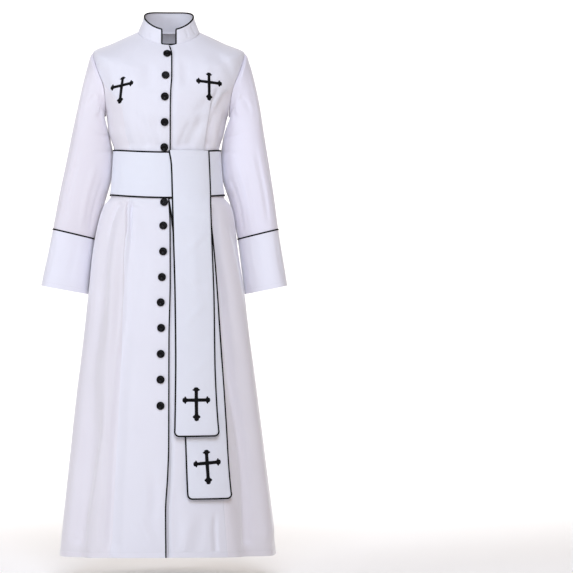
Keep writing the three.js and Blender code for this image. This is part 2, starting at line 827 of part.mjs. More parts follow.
for (const [hand, side] of [['right', -1], ['left', 1]]) {
  add(`front_${hand}`, frontPanel(side), cloth);
  add(`side_front_${hand}`, sideFrontPanel(side), cloth);
  add(`side_back_${hand}`, sideBackPanel(side), cloth);
  add(`back_${hand}`, backPanel(side), cloth);
  add(`sleeve_${hand}`, sleeve(side), cloth);
  add(`cuff_${hand}`, cuff(side), cloth);
  add(`piping_cuff_${hand}`, cuffPiping(side), cord);
  cuffButtonRings.forEach((ring, i) => {
    const button = add(`cuff_button_${hand}_${i + 1}`, buttonShape(), horn);
    const angle = cuffButtonAngles[hand];
    placeButton(button, sleeveSurface(side, angle, ring), sleeveNormal(side, angle, ring), seamGap);
  });
}

add('collar', collar(), cloth);
add('piping_collar', collarPiping(), cord);
add('piping_front', frontEdgePiping(), cord);

add('band', band(), cloth);
add('piping_band_top', bandPiping('top'), cord);
add('piping_band_bottom', bandPiping('bottom'), cord);
add('tail_front', tail(frontTailEdges, frontTailStandOff), cloth);
add('tail_back', tail(backTailEdges, backTailStandOff), cloth);
add('piping_tail_front', tailPiping(frontTailEdges, frontTailStandOff), cord);
add('piping_tail_back', tailPiping(backTailEdges, backTailStandOff), cord);

frontButtons.forEach(({ x, z, standOff }, i) => {
  const button = add(`button_${String(i + 1).padStart(2, '0')}`, buttonShape(), horn);
  const point = frontPoint(x, z, 0);
  const away = frontPoint(x, z, 1).sub(point).normalize();
  placeButton(button, point, away, standOff);
});

const crossStandOffs = {
  cross_tail_front: frontTailStandOff + clothWall + appliqueStandOff,
  cross_tail_back: backTailStandOff + clothWall + appliqueStandOff,
};
for (const row of crosses) {
  add(row.name, cross(row, crossStandOffs[row.name] ?? appliqueStandOff), cord);
}

export default cassock;
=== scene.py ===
"""A white cassock with a stand collar, deep cuffs, a wide waist band and two sash ends."""

import math

import bpy
import numpy as np
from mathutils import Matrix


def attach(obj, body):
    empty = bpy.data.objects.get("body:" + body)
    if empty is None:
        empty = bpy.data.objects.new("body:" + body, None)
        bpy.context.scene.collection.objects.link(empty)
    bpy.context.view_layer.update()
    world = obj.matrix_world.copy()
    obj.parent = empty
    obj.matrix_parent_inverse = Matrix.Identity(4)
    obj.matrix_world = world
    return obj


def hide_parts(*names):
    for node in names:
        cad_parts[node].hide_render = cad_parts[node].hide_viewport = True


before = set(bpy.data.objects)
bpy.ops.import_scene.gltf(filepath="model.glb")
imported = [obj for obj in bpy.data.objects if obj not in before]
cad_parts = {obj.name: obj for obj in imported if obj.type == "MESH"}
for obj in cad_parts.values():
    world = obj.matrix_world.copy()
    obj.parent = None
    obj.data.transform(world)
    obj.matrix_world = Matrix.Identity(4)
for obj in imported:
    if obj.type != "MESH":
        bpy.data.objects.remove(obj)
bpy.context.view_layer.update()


# ---- Body ------------------------------------------------------------------------------------
# Eight long panels of plain-woven polyester suiting, cut to flare from the waist and sewn
# edge to edge with pressed-open seams. The right front laps over the left. Sizes are in mm.

NECK, SHOULDER, UNDERARM, HEM = -5.0, 48.0, 215.0, 1372.0   # drops below the shoulder line
PRINCESS = 128.0          # where the princess seams leave the armhole
HANDS = (("right", -1), ("left", 1))
CLOTH = 1.3               # cloth with its facing
SEAM_DIP, SEAM_REACH = 0.5, 3.0
SEAM_CROWD = 0.7          # how much closer a panel's columns stand towards its seams
STITCH_REACH = 1.6        # how far a row of stitches draws the cloth in beside it
# Where the skirt's fullness springs from the band its seams are drawn in deeper.
PLEAT_DIP, PLEAT_STARTS, PLEAT_ENDS = 2.2, (434, 450), (520, 760)
HEM_STITCH, HEM_STITCH_DIP = 15.0, 0.5     # the hem's stitching above its fold
UNDERLAP, UNDERLAP_DEPTH, UNDERLAP_EASE = 31.0, 2.9, (4.0, 19.0)
LOW_UNDERLAP_DEPTH, LOW_UNDERLAP = 4.0, (950, 1200)       # more near the hem
ARMHOLE_BOW, ARMHOLE_ROUND = 26.0, 0.7     # degrees the armhole bows inwards, and how evenly
BAND_COVERS = ((296, 312), (434, 452))     # the body's creases calm down under the band

# drop, front drop, back drop, half width, front, back, square, shift
BODY = np.array([
    (-5, 38, -3, 82, 62, 55, 0, 0),
    (5, 46, 0, 105, 76, 66, 0.01, 0),
    (24, 52, 8, 147, 90, 80, 0.03, 0),
    (48, 58, 24, 200, 103, 92, 0.05, 0),
    (90, 46, 24, 197, 112, 101, 0.06, 0),
    (140, 28, 14, 184.5, 118, 106, 0.06, -1),
    (215, 0, 0, 161, 119, 106, 0.05, -4),
    (265, 0, 0, 152, 110, 99, 0.05, -6),
    (308, 0, 0, 139.5, 100, 92, 0.04, -5),
    (360, 0, 0, 142, 98, 91, 0.04, -5),
    (431, 0, 0, 149.8, 103.5, 97.4, 0.04, -4),
    (442, 0, 0, 159, 104.8, 100, 0.04, -4),
    (454, 0, 0, 168, 108, 108, 0.04, -4),
    (500, 0, 0, 182, 119, 120, 0.03, -5),
    (575, 0, 0, 194, 129, 132, 0.03, -7),
    (690, 0, 0, 208, 141, 149, 0.02, -5),
    (900, 0, 0, 230, 166, 176, 0.02, -5),
    (1097, 0, 0, 253, 192, 203, 0.01, -5),
    (1372, -13, -14, 286, 226, 240, 0, -2),
], float)
# drop, angle of the front seam from the centre front, of the back seam from the centre back
PRINCESS_SEAMS = np.array([
    (128, 62.6, 62.6), (150, 53, 53), (175, 46.5, 45), (207, 43, 39), (308, 43, 38),
    (435, 38, 33.5), (525, 33, 33), (700, 32.5, 32), (900, 32.5, 29), (1372, 32.5, 29),
], float)
# drop, x of the right front's edge
CLOSING = np.array([
    (-5, -1), (10, 5.5), (60, 5.5), (120, 3), (215, 1.7), (308, 1.5), (435, -2), (500, 1),
    (650, 1.5), (806, -1.7), (1073, -2.5), (1150, -5), (1250, -10.5), (1372, -9.5),
], float)
# The skirt's deep flares: start, full, angle at the top, angle at the hem, half spread, depth
FLARES = [
    (470, 1000, 40, 50, 14, -17), (444, 900, 66, 68, 12, 7), (450, 1000, 112, 110, 13, 6),
    (444, 900, 136, 134, 13, -11), (450, 1000, 166, 167, 12, -7), (444, 900, -34, -34, 11, -6),
    (444, 800, -61, -55, 12, -10), (450, 1000, -76, -74, 11, 5), (450, 1000, -112, -110, 13, 5),
    (470, 900, -134, -134, 14, -16), (450, 1000, -162, -163, 11, -6),
]
# Creases in front, as the wearer faces us: points (across, height), depth, half width to the
# left and to the right of the line, and the shares of its length over which it comes and goes.
FRONT_CREASES = [
    ([(-98, -441), (-103, -470), (-103, -520), (-101, -575)], -6.0, 5, 6, 0.03, 0.5),
    ([(129, -130), (118, -170), (109, -211), (102, -260), (99, -312)], -5.5, 4, 15, 0.3, 0.03),
    ([(-132, -439), (-140, -457), (-151, -483), (-158, -506), (-162, -527), (-164, -570)],
     -5.5, 6, 8, 0.03, 0.5),
    ([(-128, -470), (-134, -560), (-142, -702), (-168, -1065), (-184, -1361)],
     4.2, 26, 18, 0.1, 0.05),
    ([(-96, -439), (-102, -453), (-104, -500), (-100, -554), (-107, -613), (-111, -660),
      (-108, -720), (-124, -836), (-141, -1065), (-156, -1361)], -9.5, 14, 44, 0.02, 0.05),
    ([(-133, -438), (-154, -487), (-164, -539), (-171, -624), (-180, -811), (-187, -917)],
     -7.9, 21, 29, 0.02, 0.5),
    ([(-181, -883), (-187, -1026), (-205, -1130), (-226, -1247), (-236, -1346)],
     -12.3, 39, 26, 0.4, 0.05),
    ([(-142, -507), (-148, -624), (-153, -779), (-168, -909)], 5.6, 23, 23, 0.3, 0.5),
    ([(-202, -728), (-226, -1039), (-254, -1346)], 8.8, 36, 34, 0.5, 0.05),
    ([(-83, -460), (-80, -598), (-85, -805)], -5.5, 23, 42, 0.2, 0.5),
    ([(-59, -1122), (-31, -1200), (-49, -1299)], -4.3, 23, 23, 0.4, 0.4),
    ([(-96, -1234), (-57, -1294), (-33, -1343)], 3.5, 21, 23, 0.4, 0.3),
    ([(109, -447), (116, -500), (117, -578), (127, -639), (136, -700), (145, -780), (159, -925),
      (175, -1003), (195, -1143), (201, -1294), (204, -1351)], -13.5, 17, 22, 0.04, 0.03),
    ([(138, -473), (175, -702), (206, -909), (242, -1143), (261, -1346)], 7.9, 34, 36, 0.2, 0.05),
    ([(157, -468), (193, -603), (224, -779), (263, -1039)], -8.5, 21, 26, 0.1, 0.5),
    ([(118, -1242), (116, -1294), (120, -1348)], -4.2, 9, 12, 0.4, 0.05),
    ([(89, -1237), (79, -1299), (70, -1348)], -1.8, 21, 21, 0.4, 0.1),
    ([(62, -1242), (45, -1299), (38, -1348)], 2.4, 21, 21, 0.4, 0.1),
    ([(11, -1143), (19, -1247), (21, -1348)], -2.6, 21, 21, 0.4, 0.1),
    ([(159, -151), (138, -180), (119, -221), (106, -273), (99, -312)], -4.5, 13, 18, 0.1, 0.05),
    ([(138, -203), (121, -250), (115, -312)], 3.9, 13, 16, 0.3, 0.05),
    ([(157, -193), (141, -250), (133, -312)], -4.5, 16, 18, 0.3, 0.05),
    ([(99, -208), (71, -255), (47, -307)], -4.9, 18, 23, 0.35, 0.1),
    ([(66, -226), (40, -270), (27, -309)], -3.5, 16, 21, 0.35, 0.1),
    ([(115, -161), (84, -203), (60, -229)], -2.4, 21, 21, 0.4, 0.4),
    ([(-93, -198), (-67, -244), (-51, -309)], -3.9, 23, 18, 0.35, 0.1),
    ([(-127, -224), (-111, -270), (-103, -309)], -3.3, 21, 18, 0.35, 0.1),
    ([(-44, -216), (-28, -260), (-23, -309)], -2.3, 18, 18, 0.35, 0.1),
    ([(-44, -70), (-51, -117), (-44, -172)], -4.5, 29, 23, 0.3, 0.4),
    ([(45, -65), (41, -117), (53, -161)], -4.0, 21, 29, 0.3, 0.4),
    ([(-90, -78), (-98, -130), (-88, -182)], 2.4, 31, 31, 0.4, 0.4),
    ([(-145, -65), (-129, -104), (-132, -151)], -2.4, 23, 23, 0.4, 0.4),
    ([(-181, -83), (-166, -130), (-153, -187)], -2.8, 13, 21, 0.3, 0.4),
    ([(118, -52), (154, -83), (170, -130)], -3.5, 23, 18, 0.3, 0.4),
    ([(89, -47), (99, -83), (97, -125)], 2.4, 23, 23, 0.4, 0.4),
]
# Creases behind, seen from behind.
BACK_CREASES = [
    ([(-100, -104), (-113, -161), (-105, -239), (-89, -312)], -3.6, 18, 18, 0.3, 0.05),
    ([(82, -117), (72, -177), (64, -247), (56, -312)], -4.5, 23, 16, 0.3, 0.05),
    ([(166, -174), (124, -203), (108, -255), (89, -312)], -3.3, 16, 16, 0.2, 0.05),
    ([(-40, -229), (-35, -276), (-32, -312)], -2.0, 18, 18, 0.4, 0.1),
    ([(33, -234), (25, -276), (23, -312)], -2.0, 18, 18, 0.4, 0.1),
    ([(-61, -78), (-53, -130), (-63, -193)], -2.4, 29, 29, 0.4, 0.4),
    ([(46, -83), (41, -141), (49, -193)], -2.2, 29, 29, 0.4, 0.4),
    ([(-129, -442), (-152, -478), (-170, -546), (-185, -702), (-198, -831)],
     -6.8, 21, 29, 0.02, 0.5),
    ([(125, -440), (137, -491), (153, -598), (163, -728)], -6.0, 23, 18, 0.02, 0.5),
    ([(-24, -473), (-37, -702), (-45, -909), (-48, -1143), (-32, -1356)], -9.8, 44, 34, 0.3, 0.03),
    ([(56, -702), (75, -961), (72, -1169), (90, -1351)], -6.8, 34, 26, 0.4, 0.03),
    ([(119, -676), (134, -1013), (147, -1346)], 4.8, 18, 21, 0.4, 0.03),
    ([(150, -559), (166, -844), (184, -1065), (197, -1281), (202, -1346)],
     -12.8, 31, 31, 0.3, 0.03),
    ([(-110, -676), (-120, -987), (-139, -1260), (-144, -1346)], -3.9, 21, 26, 0.4, 0.03),
    ([(-180, -753), (-206, -1039), (-232, -1325)], -6.0, 31, 31, 0.4, 0.03),
    ([(-152, -702), (-167, -1013), (-183, -1356)], 4.5, 29, 29, 0.4, 0.03),
    ([(-81, -779), (-89, -1039), (-92, -1351)], 3.6, 31, 26, 0.4, 0.03),
    ([(212, -883), (238, -1143), (254, -1330)], 6.0, 23, 23, 0.4, 0.03),
]


def smooth_curve(places, values, at):
    """A smooth curve through points that never overshoots, read at any places."""
    secant = np.diff(values) / np.diff(places)
    slope = np.zeros(len(places))
    slope[0], slope[-1] = secant[0], secant[-1]
    before, after = secant[:-1], secant[1:]
    same_way = before * after > 0
    slope[1:-1][same_way] = (2 * before * after / np.where(same_way, before + after, 1))[same_way]
    i = np.clip(np.searchsorted(places, at, side="left") - 1, 0, len(places) - 2)
    span = places[i + 1] - places[i]
    t = (at - places[i]) / span
    ease = t * t * (3 - 2 * t)
    return (values[i] * (1 - ease) + values[i + 1] * ease
            + span * t * (1 - t) * ((1 - t) * slope[i] - t * slope[i + 1]))


def ramp(value, low, high):
    """0 below low, 1 above high and a smooth rise between."""
    t = np.clip((value - low) / (high - low), 0, 1)
    return t * t * (3 - 2 * t)


def flare_depth(angle, drop):
    depth = np.zeros(np.broadcast(angle, drop).shape)
    for start, full, top_angle, hem_angle, half_spread, hem_depth in FLARES:
        way = (drop - start) / (HEM - start)
        centre = top_angle + (hem_angle - top_angle) * np.clip(way, 0, 1)
        aside = np.abs((angle - centre + 540) % 360 - 180) / half_spread
        growth = ramp(drop, start, full) * (0.7 + 0.3 * np.clip(way, 0, 1))
        depth += hem_depth * growth * np.where(aside < 1, 0.5 + 0.5 * np.cos(np.pi * aside), 0)
    return depth


def body_surface(angle, drop, flared=True):
    """Points of the outside: angle from the centre front, positive to the wearer's left."""
    angle, drop = np.broadcast_arrays(np.asarray(angle, float), np.asarray(drop, float))
    front_drop, back_drop, half_width, front, back, square, shift = (
        smooth_curve(BODY[:, 0], BODY[:, k], drop) for k in range(1, 8))
    turn = np.radians(angle)
    c, s = np.cos(turn), np.sin(turn)
    square = square * np.sin(2 * turn)
    flare = flare_depth(angle, drop) if flared else 0
    dish = c * (front_drop - back_drop) / 2 + c * c * (front_drop + back_drop) / 2
    return np.stack([
        shift + half_width * np.sin(turn + square) + flare * s,
        -np.where(c > 0, front, back) * np.cos(turn - square) - flare * c,
        -drop - dish,
    ], -1)


def unit(vectors):
    return vectors / np.maximum(np.linalg.norm(vectors, axis=-1, keepdims=True), 1e-9)


def surface_normal(surface, u, v, step, low, high):
    """The direction off a surface, from four points close by."""
    across = surface(u + 0.5, v) - surface(u - 0.5, v)
    down = surface(u, np.minimum(v + step, high)) - surface(u, np.maximum(v - step, low))
    return unit(np.cross(down, across))


def body_normal(angle, drop, flared=True):
    return surface_normal(lambda a, d: body_surface(a, d, flared), angle, drop, 2, NECK, HEM)


def crease_lift(across, height, creases):
    """How far the listed creases lift or sink the cloth at points of a view."""
    lift = np.zeros(across.shape)
    for path, depth, left, right, coming, going in creases:
        path = np.array(path, float)
        for _ in range(2):    # the corners are cut off twice
            inner = np.stack([path[:-1] * 0.75 + path[1:] * 0.25,
                              path[:-1] * 0.25 + path[1:] * 0.75], 1).reshape(-1, 2)
            path = np.concatenate([path[:1], inner, path[-1:]])
        reach = max(left, right)
        near = ((across > path[:, 0].min() - reach) & (across < path[:, 0].max() + reach)
                & (height > path[:, 1].min() - reach) & (height < path[:, 1].max() + reach))
        if not near.any():
            continue
        spots = np.stack([across[near], height[near]], -1)
        nearest = np.full(len(spots), np.inf)
        along, side, run = np.zeros(len(spots)), np.zeros(len(spots)), 0.0
        for a, b in zip(path[:-1], path[1:]):
            length = np.linalg.norm(b - a)
            if length < 1e-6:
                continue
            way = (b - a) / length
            t = np.clip((spots - a) @ way, 0, length)
            off = spots - a - t[:, None] * way
            far = np.hypot(off[:, 0], off[:, 1])
            closer = far < nearest
            nearest = np.where(closer, far, nearest)
            along = np.where(closer, run + t, along)
            side = np.where(closer, way[0] * off[:, 1] - way[1] * off[:, 0], side)
            run += length
        aside = np.clip(nearest / np.where(side > 0, right, left), 0, 1)
        fade = ramp(along / run, 0, coming) * ramp(1 - along / run, 0, going)
        lift[near] += depth * fade * (0.5 + 0.5 * np.cos(np.pi * aside))
    return lift


def body_creases(points, drop):
    """The creases in front and behind, which calm down under the band and at the neck."""
    x, y, z = points[..., 0], points[..., 1], points[..., 2]
    in_front = ramp(-y, -25, 25)
    lift = crease_lift(x, z, FRONT_CREASES) * in_front
    lift += crease_lift(-x, z, BACK_CREASES) * (1 - in_front)
    above, below = BAND_COVERS
    clear_of_band = 1 - ramp(drop, *above) * (1 - ramp(drop, *below))
    return lift * clear_of_band * ramp(drop, 0, 25)


def front_angle(x, drop):
    """The angle in front at which the body, clear of its flares, stands at an x."""
    x, drop = np.broadcast_arrays(np.asarray(x, float), np.asarray(drop, float))
    low, high = np.full(x.shape, -89.0), np.full(x.shape, 89.0)
    for _ in range(22):
        middle = (low + high) / 2
        less = body_surface(middle, drop, False)[..., 0] < x
        low, high = np.where(less, middle, low), np.where(less, high, middle)
    return (low + high) / 2


def armhole_angle(drop):
    way = np.clip((drop - SHOULDER) / (UNDERARM - SHOULDER), 0, 1)
    return 90 - ARMHOLE_BOW * np.sin(np.pi * way) ** ARMHOLE_ROUND


def princess_angle(drop, behind):
    return smooth_curve(PRINCESS_SEAMS[:, 0], PRINCESS_SEAMS[:, 2 if behind else 1], drop)


def closing_edge(drop):
    return smooth_curve(CLOSING[:, 0], CLOSING[:, 1], drop)


def arc_lengths(points, axis):
    steps = np.linalg.norm(np.diff(points, axis=axis), axis=-1)
    zero = np.zeros_like(steps.take([0], axis))
    return np.concatenate([zero, np.cumsum(steps, axis)], axis)


def make_piece(name, points, faces, uv, material):
    """A finished piece from points in mm and four-sided faces, turned outwards."""
    a, b, c, d = (points[faces[:, k]] for k in range(4))
    volume = (a * np.cross(b, c)).sum() + (a * np.cross(c, d)).sum()
    if volume < 0:
        faces = faces[:, ::-1]
    name = f"finished_{name}"
    mesh = bpy.data.meshes.new(name)
    mesh.vertices.add(len(points))
    mesh.vertices.foreach_set("co", (points / 1000).astype(np.float32).ravel())
    mesh.loops.add(faces.size)
    mesh.loops.foreach_set("vertex_index", faces.astype(np.int32).ravel())
    mesh.polygons.add(len(faces))
    mesh.polygons.foreach_set("loop_start", np.arange(0, faces.size, 4, dtype=np.int32))
    mesh.update(calc_edges=True)
    mesh.polygons.foreach_set("use_smooth", np.ones(len(faces), bool))
    mesh.set_sharp_from_angle(angle=math.radians(55))
    layer = mesh.uv_layers.new(name="cloth")
    layer.data.foreach_set("uv", (uv[faces.ravel()] / 1000).astype(np.float32).ravel())
    mesh.materials.append(material)
    piece = bpy.data.objects.new(name, mesh)
    bpy.context.scene.collection.objects.link(piece)
    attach(piece, "root")
    return piece


def wall_faces(rows, columns, looped=False):
    """Faces over both sides and the edges of two grids of points, one behind the other."""
    grid = np.arange(rows * columns).reshape(rows, columns)
    if looped:
        grid = np.concatenate([grid, grid[:, :1]], 1)
    behind = grid + rows * columns
    strips = [
        (grid[:-1, :-1], grid[:-1, 1:], grid[1:, 1:], grid[1:, :-1]),
        (behind[:-1, :-1], behind[1:, :-1], behind[1:, 1:], behind[:-1, 1:]),
        (grid[0, 1:], grid[0, :-1], behind[0, :-1], behind[0, 1:]),
        (grid[-1, :-1], grid[-1, 1:], behind[-1, 1:], behind[-1, :-1]),
    ]
    if not looped:
        strips += [(grid[:-1, 0], grid[1:, 0], behind[1:, 0], behind[:-1, 0]),
                   (grid[1:, -1], grid[:-1, -1], behind[:-1, -1], behind[1:, -1])]
    return np.concatenate([np.stack([part.ravel() for part in strip], -1) for strip in strips])


def cloth_wall(name, outside, inside, material, looped=False):
    """A sheet of cloth with both faces and its edges, from two grids of points."""
    rows, columns = outside.shape[:2]
    across = arc_lengths(outside, 1)
    across = across - across[:, -1:] / 2
    down = np.broadcast_to(arc_lengths(outside, 0)[:, columns // 2][:, None], across.shape)
    uv = np.stack([across, -down], -1).reshape(-1, 2)
    points = np.concatenate([outside.reshape(-1, 3), inside.reshape(-1, 3)])
    return make_piece(name, points, wall_faces(rows, columns, looped), np.concatenate([uv, uv]),
                      material)


def set_inputs(node, **values):
    for name, value in values.items():
        node.inputs[name.replace("_", " ")].default_value = value


def new_material(name, **surface):
    material = bpy.data.materials.new(name)
    material.use_nodes = True
    set_inputs(material.node_tree.nodes["Principled BSDF"], **surface)
    return material


def add_node(tree, kind, **values):
    node = tree.nodes.new(kind)
    set_inputs(node, **values)
    return node


def add_noise(tree, **values):
    """Soft clouds that keep their place on the object."""
    place = tree.nodes.get("Texture Coordinate") or tree.nodes.new("ShaderNodeTexCoord")
    noise = add_node(tree, "ShaderNodeTexNoise", **values)
    tree.links.new(place.outputs["Object"], noise.inputs["Vector"])
    return noise.outputs["Fac"]


def add_threads(tree, direction, **values):
    """Fine bands of thread along the cloth's own map."""
    cloth = tree.nodes.get("UV Map") or tree.nodes.new("ShaderNodeUVMap")
    cloth.uv_map = "cloth"
    thread = add_node(tree, "ShaderNodeTexWave", **values)
    thread.wave_type = "BANDS"
    thread.bands_direction = direction
    tree.links.new(cloth.outputs["UV"], thread.inputs["Vector"])
    return thread.outputs["Fac"]


def add_bump(tree, height, strength, distance):
    """Relief on top of any that the surface has already."""
    bump = add_node(tree, "ShaderNodeBump", Strength=strength, Distance=distance)
    normal = tree.nodes["Principled BSDF"].inputs["Normal"]
    if normal.links:
        tree.links.new(normal.links[0].from_socket, bump.inputs["Normal"])
    tree.links.new(height, bump.inputs["Height"])
    tree.links.new(bump.outputs["Normal"], normal)


def two_shades(tree, factor, dark, pale):
    """Colours the surface between two shades."""
    tint = tree.nodes.new("ShaderNodeMix")
    tint.data_type = "RGBA"
    set_inputs(tint, A=(*dark, 1), B=(*pale, 1))
    tree.links.new(factor, tint.inputs["Factor"])
    tree.links.new(tint.outputs["Result"], tree.nodes["Principled BSDF"].inputs["Base Color"])


def cloth_material(name, colour, shade, sheen=0.6, rough=0.82, soft_dents=1.0):
    """Plain weave: threads over and under in both directions, a slightly mottled colour
    and, between the pressed creases, the small unevenness that cloth keeps."""
    material = new_material(name, Roughness=rough, Specular_IOR_Level=0.25, Sheen_Weight=sheen,
                            Sheen_Roughness=0.45)
    tree = material.node_tree
    weave = tree.nodes.new("ShaderNodeMath")
    weave.operation = "MULTIPLY"
    for k, direction in enumerate("XY"):     # about 1.6 threads in a millimetre
        thread = add_threads(tree, direction, Scale=500.0, Distortion=0.6, Detail=1.0)
        tree.links.new(thread, weave.inputs[k])
    add_bump(tree, weave.outputs[0], 0.35, 0.0001)
    dents = add_noise(tree, Scale=17.0, Detail=3.0, Roughness=0.45)
    add_bump(tree, dents, 0.4, 0.004 * soft_dents)
    two_shades(tree, add_noise(tree, Scale=9.0, Detail=5.0), shade, colour)
    return material


body_cloth = cloth_material("cassock cloth", (0.83, 0.825, 0.89), (0.79, 0.78, 0.845))
# The side panels are coloured darker and warmer than the rest of the body: painted shade where they
# turn away from the light, though they are the same suiting.
side_cloth_painted_shade = cloth_material("side panel cloth with painted shade", (0.82, 0.795, 0.845), (0.78, 0.75, 0.80))


def panel_rows(start):
    """Drops of a panel's rows: close together at the shoulder, the underarm and the hem."""
    rows = np.concatenate([
        np.linspace(NECK, 42, 14), [45, 46.5, 47.5, 48, 48.5, 49.2, 50.2, 51.6, 53.5],
        np.arange(56, 208, 4.5), [209, 211, 213, 214.3, 215], np.arange(219, HEM - 20, 5.5),
        HEM - HEM_STITCH + np.array([-3, -1.5, 0, 1.5, 3]), [HEM - 8, HEM - 4, HEM - 1.5, HEM]])
    if start == PRINCESS:
        rows = np.concatenate([[PRINCESS, PRINCESS + 1], rows[rows > PRINCESS + 2]])
    return rows


def pressed_seam(drop):
    return SEAM_DIP + PLEAT_DIP * ramp(drop, *PLEAT_STARTS) * (1 - ramp(drop, *PLEAT_ENDS))


def body_panel(name, rows, first, last, columns, press=None, free_first=False, cloth=None):
    """A panel between two lines of angles, sunk a little along its sewn edges."""
    even = np.linspace(0, 1, columns)
    way = even - SEAM_CROWD * np.sin(2 * np.pi * even) / (2 * np.pi)
    angle = first[:, None] + (last - first)[:, None] * way
    drop = np.broadcast_to(rows[:, None], angle.shape)
    skin = body_surface(angle, drop)
    off = body_normal(angle, drop)
    across = arc_lengths(skin, 1)
    width = across[:, -1:]
    edge = width - across if free_first else np.minimum(across, width - across)
    dip = pressed_seam(drop) * (1 - ramp(edge, 0, SEAM_REACH))
    stitched = HEM_STITCH_DIP * np.exp(-((drop - HEM + HEM_STITCH) / STITCH_REACH) ** 2)
    lift = body_creases(skin, drop) - dip - stitched
    if press is not None:
        lift = lift - press(skin[..., 0], drop)
    outside = skin + off * lift[..., None]
    inside = outside - off * CLOTH
    return cloth_wall(name, outside, inside, cloth or body_cloth)


def panel_edge(rows, behind):
    """The outer edge of a centre panel: shoulder seam, armhole, then princess seam."""
    return np.where(rows < SHOULDER, 90.0,
                    np.where(rows < PRINCESS, armhole_angle(rows),
                             princess_angle(np.maximum(rows, PRINCESS), behind)))


def underlap_press(x, drop):
    past_edge = x - closing_edge(drop)
    depth = UNDERLAP_DEPTH + LOW_UNDERLAP_DEPTH * ramp(drop, *LOW_UNDERLAP)
    return depth * (1 - ramp(past_edge, *UNDERLAP_EASE))


def underarm_edge(rows):
    return np.where(rows < UNDERARM, armhole_angle(rows), 90.0)


centre_rows, side_rows = panel_rows(NECK), panel_rows(PRINCESS)
for hand, side in HANDS:
    if side < 0:
        start = front_angle(closing_edge(centre_rows), centre_rows)
        piece = body_panel("front_right", centre_rows, start, -panel_edge(centre_rows, False),
                           56, free_first=True)
    else:
        start = front_angle(closing_edge(centre_rows) - UNDERLAP, centre_rows)
        piece = body_panel("front_left", centre_rows, start, panel_edge(centre_rows, False),
                           62, press=underlap_press, free_first=True)
    made = {f"front_{hand}": piece}
    made[f"side_front_{hand}"] = body_panel(
        f"side_front_{hand}", side_rows, side * princess_angle(side_rows, False),
        side * underarm_edge(side_rows), 64, cloth=side_cloth_painted_shade)
    made[f"side_back_{hand}"] = body_panel(
        f"side_back_{hand}", side_rows, side * (180 - princess_angle(side_rows, True)),
        side * (180 - underarm_edge(side_rows)), 62, cloth=side_cloth_painted_shade)
    made[f"back_{hand}"] = body_panel(
        f"back_{hand}", centre_rows, side * 180 + 0 * centre_rows,
        side * (180 - panel_edge(centre_rows, True)), 40)
    for node, piece in made.items():
        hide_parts(node)


# ---- Sleeves ---------------------------------------------------------------------------------
# One-piece set-in sleeves of the same suiting, slightly curved at the elbow, with their fullness
# eased into the armhole seam.

CUFF_SEAM, CUFF_HEM = 8, 10      # rings of the table
SLEEVE_SQUARE = 0.08      # how flat the sleeve hangs in front and behind
SLEEVE_SLANT = 13.0       # how far its inner edge is turned back and its outer edge forwards
SLEEVE_CLOSER = 4.0       # and how much nearer the body that edge lies
SLEEVE_HANGS = (1, 5)     # the rings between which those three set in
HEAD_PUFF = 0.12          # how far the sleeve head springs off the armhole seam
SLEEVE_END_DIP = 0.8      # how far it is drawn in at the cuff's seam

# ring, outer drop, outer left, outer right, inner drop, inner left, inner right, centre y,
# half depth
SLEEVE = np.array([
    (1, 60, 209, 208, 221, 161, 169, 2, 60),
    (2, 92, 219, 217, 233, 157, 166.5, 5, 63),
    (3, 140, 231, 229, 251, 152, 163.5, 8, 65),
    (4, 195, 242, 241, 280, 146, 157.5, 12, 65),
    (5, 255, 251, 254, 318, 142.5, 152, 15, 64),
    (6, 335, 264, 270, 372, 145, 155, 17, 63),
    (7, 425, 278, 289, 456, 169, 177, 18, 61),
    (8, 515, 290, 306, 541, 186.5, 199, 15, 57),
    (9, 590, 302, 321, 614, 196, 209.5, 14, 59),
    (10, 664, 314, 337, 687, 205.5, 217, 12, 62),
], float)
# Creases: points (degrees round from the outer edge towards the front, ring times -80), then
# depth, half widths and fades as on the body.
SLEEVE_CREASES = [
    ([(96, -150), (72, -250), (60, -330)], -2.9, 9, 13, 0.3, 0.4),
    ([(128, -130), (118, -220), (96, -300)], -3.4, 10, 12, 0.2, 0.4),
    ([(150, -300), (118, -345), (84, -372)], -1.4, 10, 14, 0.15, 0.4),
    ([(152, -390), (122, -412), (92, -446)], -1.2, 9, 12, 0.15, 0.4),
    ([(40, -120), (36, -300), (44, -430)], 2.1, 12, 14, 0.3, 0.4),
    ([(66, -420), (58, -520), (62, -630)], -2.6, 10, 12, 0.3, 0.2),
    ([(104, -450), (98, -540), (106, -632)], 2.3, 11, 11, 0.3, 0.2),
    ([(128, -480), (124, -560), (130, -632)], -2.3, 9, 10, 0.3, 0.2),
    ([(22, -380), (26, -500), (22, -620)], -2.0, 9, 10, 0.3, 0.3),
    ([(250, -110), (262, -210), (286, -320)], -3.4, 12, 9, 0.2, 0.4),
    ([(226, -140), (236, -250), (262, -350)], -3.1, 12, 10, 0.2, 0.4),
    ([(212, -330), (246, -372), (280, -392)], -3.6, 13, 10, 0.15, 0.4),
    ([(300, -360), (292, -480), (300, -620)], -2.3, 12, 11, 0.3, 0.3),
    ([(256, -440), (262, -540), (254, -632)], 2.3, 11, 11, 0.3, 0.2),
    ([(320, -200), (326, -300), (322, -420)], -2.0, 11, 11, 0.3, 0.4),
]

# Each sleeve has its own tint, the right one warmer and the left one bluer: painted light and
# shade, for both are the same suiting.
sleeve_cloth_painted_light = {"right": cloth_material("right sleeve cloth with painted shade", (0.845, 0.81, 0.87),
                                        (0.80, 0.76, 0.82)),
                "left": cloth_material("left sleeve cloth with painted light", (0.855, 0.83, 0.92),
                                       (0.815, 0.785, 0.875))}


